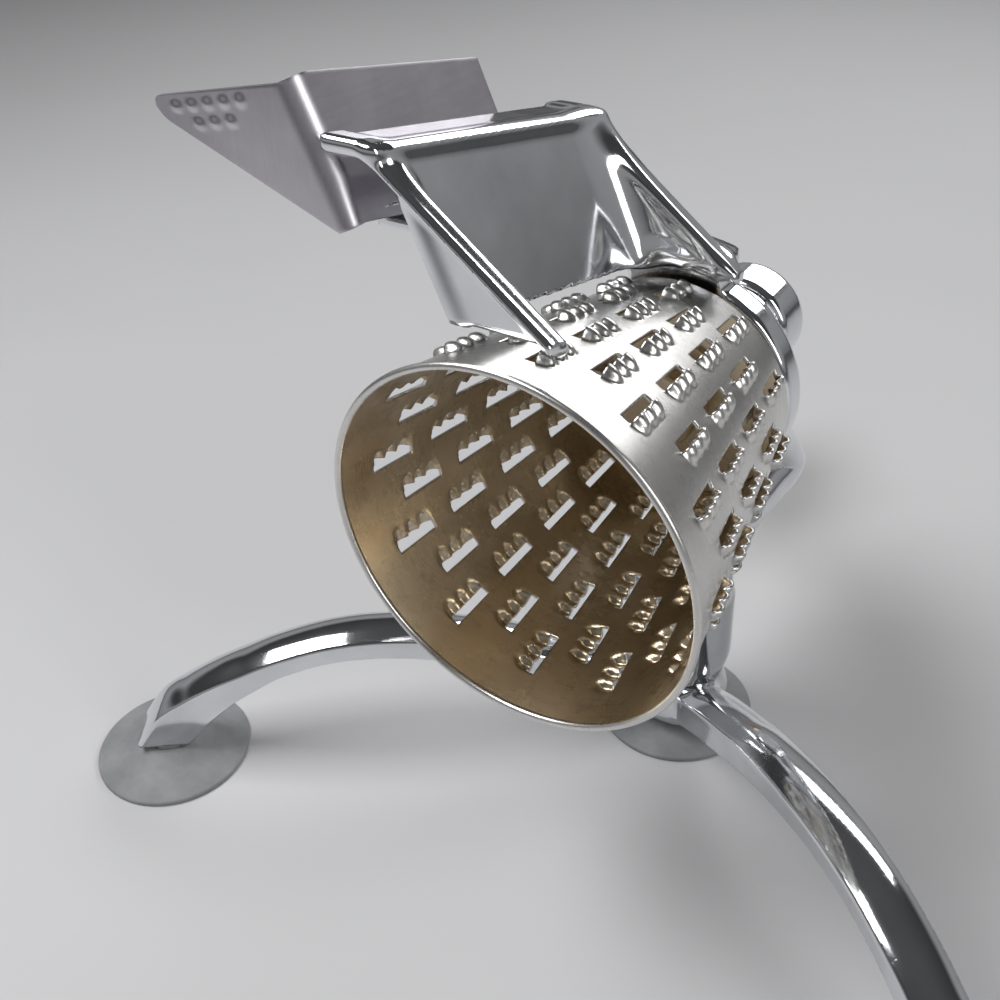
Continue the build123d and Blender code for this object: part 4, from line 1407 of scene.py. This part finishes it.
@dataclass
class Pusher:
    """Bent sheet: a plate along the hopper's wall and a wing that ends in a dimpled thumb pad."""

    bench: Bench
    finishes: Finishes
    sheet: float = 1.2
    front: float = 4.0
    length: float = 62.0
    height: float = 22.5
    lip: float = 11.0
    lip_turn: float = math.radians(6.0)
    bend: float = 5.0
    wing: float = 40.0
    wing_tip: float = 4.6
    wing_fall: float = math.radians(11.3)
    lean: float = math.radians(22.7)
    drift: tuple[float, float] = (0.066, -0.212)
    top: float = 105.0
    rim_corner: tuple[float, float] = (-43.5, 89.8)
    standoff: float = 0.5
    section_front: float = 8.0
    step: float = 0.8
    dimple: float = 1.7
    dimple_depth: float = 0.6
    dimple_step: tuple[float, float] = (5.2, 1.05)
    dimple_rows: tuple[tuple[float, float, int], ...] = ((-86.5, 93.6, 5), (-80.0, 90.6, 3))

    def path(self) -> list[tuple[float, float, float]]:
        """Cross path of the sheet, from the wing's tip to the rear edge.

        Returns:
            Outward run, rearward run and share of the wing at each point.
        """
        wing_run = self.wing * math.cos(self.lean - self.wing_fall)
        line = [(self.bend + wing_run * share, -self.bend, share) for share in np.linspace(1, 0, 52)]
        for turn in np.linspace(0, math.pi / 2, 9)[1:]:
            line.append((self.bend * (1 - math.sin(turn)), -self.bend * math.cos(turn), 0.0))
        count = int((self.length - self.bend) / self.step)
        line += [(0.0, (self.length - self.bend) * share, 0.0) for share in np.linspace(0, 1, count)[1:]]
        return line

    def build(self) -> None:
        """Builds, dresses and seats the pusher."""
        up = np.array([-math.sin(self.lean), 0, math.cos(self.lean)])
        out = np.array([-math.cos(self.lean), 0, -math.sin(self.lean)])
        path = self.path()
        rows = int((self.height + self.lip) / self.step)
        points = self.lay(path, rows, up, out)
        points[:, 1] -= self.dimples(points)
        piece = add_mesh("pusher_sheet", self.bench, points, grid_faces(len(path), rows + 1))
        solid = piece.modifiers.new("sheet", "SOLIDIFY")
        solid.thickness = self.sheet * MM
        solid.offset = self.side(piece, out)
        bevel = piece.modifiers.new("edge", "BEVEL")
        bevel.width, bevel.segments = 0.25 * MM, 2
        bevel.limit_method, bevel.angle_limit = "ANGLE", math.radians(50)
        apply_modifiers(piece)
        dress(piece, self.finishes.sheet)
        seat(piece, Body.PUSHER, "sheet_steel", "pusher_plate")

    def lay(self, path: Sequence[tuple[float, float, float]], rows: int, up: Array, out: Array) -> Array:
        """Lays the sheet's vertices along its cross path, from the lip up.

        Args:
            path: the cross path.
            rows: steps up the sheet.
            up: direction up the leaning plate.
            out: direction away from the hopper's wall.

        Returns:
            The vertices, in machine millimetres.
        """
        full = self.height + self.lip
        rise = self.wing * math.sin(self.lean - self.wing_fall)
        start = self.front + self.bend
        back = start - self.section_front
        corner_x, corner_z = self.rim_corner
        top_x = corner_x - self.standoff / math.cos(self.lean) - (self.top - corner_z) * math.tan(self.lean)
        top_z = self.bench.axis_z + self.top
        foot = np.array([top_x + self.drift[0] * back, start, top_z + self.drift[1] * back]) - up * full
        points = []
        for outward_run, rearward, share in path:
            low = (full + rise - self.wing_tip) * share
            high = full + rise * share
            squeeze = math.sqrt(max(1 - max((share - 0.94) / 0.06, 0) ** 2, 0.02))
            centre, half = (low + high) / 2, (high - low) / 2 * squeeze
            slide = np.array([self.drift[0], 0, self.drift[1]]) * max(rearward, 0)
            fade = (1 - min(share * 6, 1)) * min(max((rearward + self.bend) / self.bend, 0), 1)
            for level in centre + half * (2 * np.arange(rows + 1) / rows - 1):
                lip = max(self.lip - level, 0) * math.tan(self.lip_turn) * fade
                points.append(foot + up * level + out * (outward_run + lip) + (0, rearward, 0) + slide)
        return np.array(points)

    def side(self, piece: bpy.types.Object, out: Array) -> float:
        """Solidify offset that grows the sheet away from the hopper."""
        face = piece.data.polygons[len(piece.data.polygons) - 5]
        return 1.0 if face.normal.dot(Vector(out)) > 0 else -1.0

    def dimples(self, points: Array) -> Array:
        """Raised dots of the thumb pad near the wing's tip.

        Args:
            points: the sheet's vertices.

        Returns:
            How far each vertex is raised.
        """
        step_x, step_z = self.dimple_step
        lift = np.zeros(len(points))
        for first_x, first_z, count in self.dimple_rows:
            for place in range(count):
                spot_x, spot_z = first_x + step_x * place, self.bench.axis_z + first_z + step_z * place
                gap = np.hypot(points[:, 0] - spot_x, points[:, 2] - spot_z) / self.dimple
                lift = np.maximum(lift, self.dimple_depth * np.cos(np.clip(gap, 0, 1) * math.pi / 2) ** 1.5)
        wing = np.abs(points[:, 1] - self.front) < 0.01
        return np.where(wing, lift, 0)


# ---------------------------------------------------------------- crank


@dataclass
class Crank:
    """Cast crank: boss with a capped end, and an arm that steps back past the neck."""

    bench: Bench
    finishes: Finishes
    boss_span: tuple[float, float] = (126.85, 141.85)
    boss_radius: float = 16.7
    thickness: float = 5.0
    sweep: float = 37.0
    step_start: float = 12.0
    step_end: float = 40.0
    heel: float = 2.0
    root_half: float = 8.5
    tip_half: float = 6.5
    edge: float = 1.2
    bore: float = 4.0
    knob_bore: float = 3.0
    cap_radius: float = 12.6
    recess: float = 5.0
    step: float = 0.7

    def field(self, x: Array, y: Array, z: Array) -> Array:
        """Distance to the crank.

        Args:
            x: places across, in machine millimetres.
            y: places behind the mouth.
            z: heights above the table.

        Returns:
            Signed distance, negative inside.
        """
        bench = self.bench
        rise = z - bench.axis_z
        cos, sin = math.cos(bench.crank_turn), math.sin(bench.crank_turn)
        along = -x * cos - rise * sin
        across = x * sin - rise * cos
        front = self.boss_span[1] - 3.0 - self.thickness
        back, far = front + self.thickness, front + self.sweep
        side = [
            (front, -2.0), (front, self.step_start), (far, self.step_end), (far, bench.crank_reach + 12),
            (far + self.thickness, bench.crank_reach + 12), (far + self.thickness, self.step_end - self.heel),
            (back, self.step_start - self.heel), (back, -2.0),
        ]
        flat = polygon_distance(y, along, side)
        share = np.clip(along / bench.crank_reach, 0, 1)
        width = self.root_half + (self.tip_half - self.root_half) * share
        off_line = np.hypot(across, along - np.clip(along, 0, bench.crank_reach))
        arm = prism_distance(flat, off_line, width, self.edge)
        radius = np.hypot(x, rise)
        start, end = self.boss_span
        boss = box_distance((y - (start + end) / 2, radius), ((end - start) / 2, self.boss_radius), 2.4)
        shape = smooth_min(arm, boss, 3.0)
        shape = np.maximum(shape, self.bore - radius)
        shape = np.maximum(shape, -np.maximum(radius - self.cap_radius, end - self.recess - y))
        shape = np.maximum(shape, start - y)
        hole = np.hypot(across, along - bench.crank_reach)
        return np.maximum(shape, self.knob_bore - hole)

    def build(self) -> None:
        """Meshes, dresses and seats the crank, then its knob."""
        bench = self.bench
        tip_x = -math.cos(bench.crank_turn) * bench.crank_reach
        tip_z = bench.axis_z - math.sin(bench.crank_turn) * bench.crank_reach
        low = (tip_x - 9, self.boss_span[0] - 2, tip_z - 9)
        high = (self.boss_radius + 2, self.boss_span[1] + self.sweep + 4, bench.axis_z + self.boss_radius + 2)
        points, faces, normals = mesh_field(self.field, low, high, self.step)
        piece = add_mesh("crank_casting", bench, points, faces, normals)
        dress(piece, self.finishes.casting)
        seat(piece, Body.CRANK, "cast_metal", "crank_arm")
        self.knob((tip_x, 0.0, tip_z))

    def knob(self, centre: Point) -> None:
        """Builds the turned wooden knob.

        Args:
            centre: a point on the knob's axis, in machine millimetres.
        """
        low, high = np.array(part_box("crank_knob")) / MM - (0, self.bench.mouth_y, 0)
        front, back = low[1], high[1]
        length, well, bore = back - front, back - 6.35, 3.05
        outline = smooth_path([
            (front + 0.5, 8.0), (front + length * 0.2, 9.0), (front + length * 0.42, 11.3),
            (front + length * 0.62, 12.5), (front + length * 0.82, 12.0), (back - 3.5, 10.9),
            (back - 1.2, 9.8), (back, 7.6),
        ], 8)
        profile = (
            (well, bore), (front, bore), (front, 7.4), *map(tuple, outline), (back - 0.2, 6.1), (well, 6.0),
            (well, bore),
        )
        piece = Lathe(centre, True, profile, corner=0.25, segments=96).build("crank_handle", self.bench)
        dress(piece, self.finishes.wood)
        seat(piece, Body.KNOB, "knob_wood", "crank_knob")


# ---------------------------------------------------------------- suction cups


@dataclass
class Cups:
    """Three rubber suction cups with a thin flared edge."""

    bench: Bench
    finishes: Finishes
    radius: float = 26.5
    edge: float = 1.6
    shoulder: tuple[float, float] = (14.5, 4.9)
    neck: tuple[float, float] = (9.5, 7.5)
    hollow: float = 3.2
    lip: float = 3.5

    def build(self) -> None:
        """Builds, dresses and seats the cups."""
        for side, bolt, head in (("left", 2.65, 5.6), ("right", 2.65, 5.6), ("rear", 4.15, 7.8)):
            node = f"foot_cup_{side}"
            place = middle(node)
            seat_z = self.hollow + 1.8
            profile = (
                (seat_z, bolt), (seat_z, head), (self.hollow, head), (self.hollow, self.neck[0]),
                (0.0, self.radius - self.lip), (0.0, self.radius), (self.edge, self.radius),
                (self.shoulder[1], self.shoulder[0]), (self.neck[1], self.neck[0]), (self.neck[1], bolt),
                (seat_z, bolt),
            )
            centre = (place[0], place[1] - self.bench.mouth_y, 0.0)
            piece = Lathe(centre, False, profile, corner=0.7, segments=120).build(f"cup_{side}", self.bench)
            dress(piece, self.finishes.rubber)
            seat(piece, Body.FRAME, "cup_rubber", node)


# ---------------------------------------------------------------- kept nodes and stage


@dataclass
class KeptNodes:
    """Nodes whose own shape stays, with a finish each."""

    finishes: Finishes

    def build(self) -> None:
        """Gives each kept node its finish."""
        finishes = self.finishes
        plan = {
            finishes.plated: (
                "foot_studs", "foot_washers", "column_washer", "column_bolt", "shaft_nut", "knob_bolt",
                "knob_nut", "knob_washer",
            ),
            finishes.brass: ("front_bushing", "rear_bushing", "carrier_washer"),
            finishes.steel: ("drive_shaft", "drive_carrier", "drive_pins"),
            # The back plate, hub and rivets inside the drum take the inner face's finish, darker as painted
            # shade.
            finishes.drum_inside_painted_shade: ("drum_back_plate", "drum_hub", "drum_rivets"),
            finishes.casting: ("boss_cap",),
            finishes.black_rubber: ("nose_ring",),
        }
        for material, names in plan.items():
            for name in names:
                dress(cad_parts[name], material)
                LOG.info("%s keeps its node", name)


@dataclass
class Studio:
    """Pale floor, soft lamps and the photograph's camera."""

    bench: Bench
    floor_colour: Colour = (0.6, 0.6, 0.61)
    floor_reach: float = 8.0
    room: tuple[tuple[float, float], ...] = (
        (0.0, 0.25), (0.5, 0.16), (0.56, 0.26), (0.66, 0.3), (0.73, 0.04), (1.0, 0.08),
    )
    eye: Point = (129.16, -178.30, 318.74)
    right: Point = (0.82985, 0.55572, -0.05036)
    up: Point = (-0.29791, 0.51756, 0.80211)
    ahead: Point = (-0.47181, 0.65062, -0.59505)
    lens: float = 43.2
    sensor: float = 36.0

    def camera(self) -> None:
        """Sets the camera."""
        data = bpy.data.cameras.new("camera")
        data.lens, data.sensor_width, data.sensor_fit = self.lens, self.sensor, "HORIZONTAL"
        data.clip_start, data.clip_end = 0.01, 20.0
        camera = bpy.data.objects.new("camera", data)
        bpy.context.scene.collection.objects.link(camera)
        axes = Matrix((self.right, self.up, [-value for value in self.ahead])).transposed()
        camera.matrix_world = Matrix.Translation(Vector(self.bench.world(np.array(self.eye)))) @ axes.to_4x4()
        bpy.context.scene.camera = camera

    def floor(self) -> None:
        """Lays the floor."""
        reach = self.floor_reach
        mesh = bpy.data.meshes.new("floor")
        corners = [(-reach, -reach, 0), (reach, -reach, 0), (reach, reach, 0), (-reach, reach, 0)]
        mesh.from_pydata(corners, [], [(0, 1, 2, 3)])
        piece = bpy.data.objects.new("floor", mesh)
        bpy.context.scene.collection.objects.link(piece)
        nodes = Nodes("floor_paint")
        cloud = nodes.noise(nodes.coordinates((1, 1, 1)), 3, 3)
        dark = tuple(value * 0.96 for value in self.floor_colour)
        nodes.wire(Base_Color=nodes.ramp(cloud, ((0.3, dark), (0.7, self.floor_colour))), Roughness=0.6)
        dress(piece, nodes.material)

    def lamp(self, name: str, place: Point, size: tuple[float, float], power: float) -> None:
        """Hangs a soft rectangular lamp that looks at the machine.

        Args:
            name: the lamp's name.
            place: where it hangs, in row metres.
            size: its width and height, in metres.
            power: its strength, in watts.
        """
        data = bpy.data.lights.new(name, "AREA")
        data.shape, data.size, data.size_y, data.energy = "RECTANGLE", size[0], size[1], power
        lamp = bpy.data.objects.new(name, data)
        bpy.context.scene.collection.objects.link(lamp)
        lamp.location = place
        lamp.rotation_euler = (Vector((0, 0, 0.12)) - Vector(place)).to_track_quat("-Z", "Y").to_euler()

    def world(self) -> None:
        """Paints the room: pale low down, grey walls and a darker ceiling, for the metal to reflect."""
        world = bpy.data.worlds.new("room")
        world.use_nodes = True
        bpy.context.scene.world = world
        tree = world.node_tree
        coordinate = tree.nodes.new("ShaderNodeTexCoord")
        split = tree.nodes.new("ShaderNodeSeparateXYZ")
        tree.links.new(coordinate.outputs["Generated"], split.inputs[0])
        ramp = tree.nodes.new("ShaderNodeValToRGB")
        spread = tree.nodes.new("ShaderNodeMapRange")
        spread.inputs["From Min"].default_value = -1.0
        tree.links.new(split.outputs["Z"], spread.inputs["Value"])
        tree.links.new(spread.outputs[0], ramp.inputs["Fac"])
        band = ramp.color_ramp
        while len(band.elements) < len(self.room):
            band.elements.new(0.5)
        for element, (place, value) in zip(band.elements, self.room):
            element.position = place
            element.color = (value, value * 1.005, value * 1.02, 1)
        tree.links.new(ramp.outputs["Color"], tree.nodes["Background"].inputs["Color"])

    def build(self) -> None:
        """Sets up floor, lamps, room and camera."""
        self.camera()
        self.floor()
        self.world()
        self.lamp("key_lamp", (-0.5, -0.35, 0.95), (0.7, 0.5), 9.0)
        self.lamp("fill_lamp", (0.9, -0.25, 0.6), (0.35, 0.7), 3.4)
        self.lamp("rear_lamp", (0.0, 0.95, 0.75), (0.9, 0.3), 4.4)
        settings = bpy.context.scene.view_settings
        settings.view_transform = "Standard"


def main() -> None:
    """Builds every sub-assembly in order."""
    logging.basicConfig(level=logging.INFO, format="%(name)s %(message)s")
    bench = Bench.from_frame()
    LOG.info("bench %s", bench)
    finishes = Finishes()
    for part in (
        HeadCasting(bench, finishes), Tripod(bench, finishes), Drum(bench, finishes), Pusher(bench, finishes),
        Crank(bench, finishes), Cups(bench, finishes), KeptNodes(finishes), Studio(bench),
    ):
        part.build()


if __name__ == "__main__":
    main()
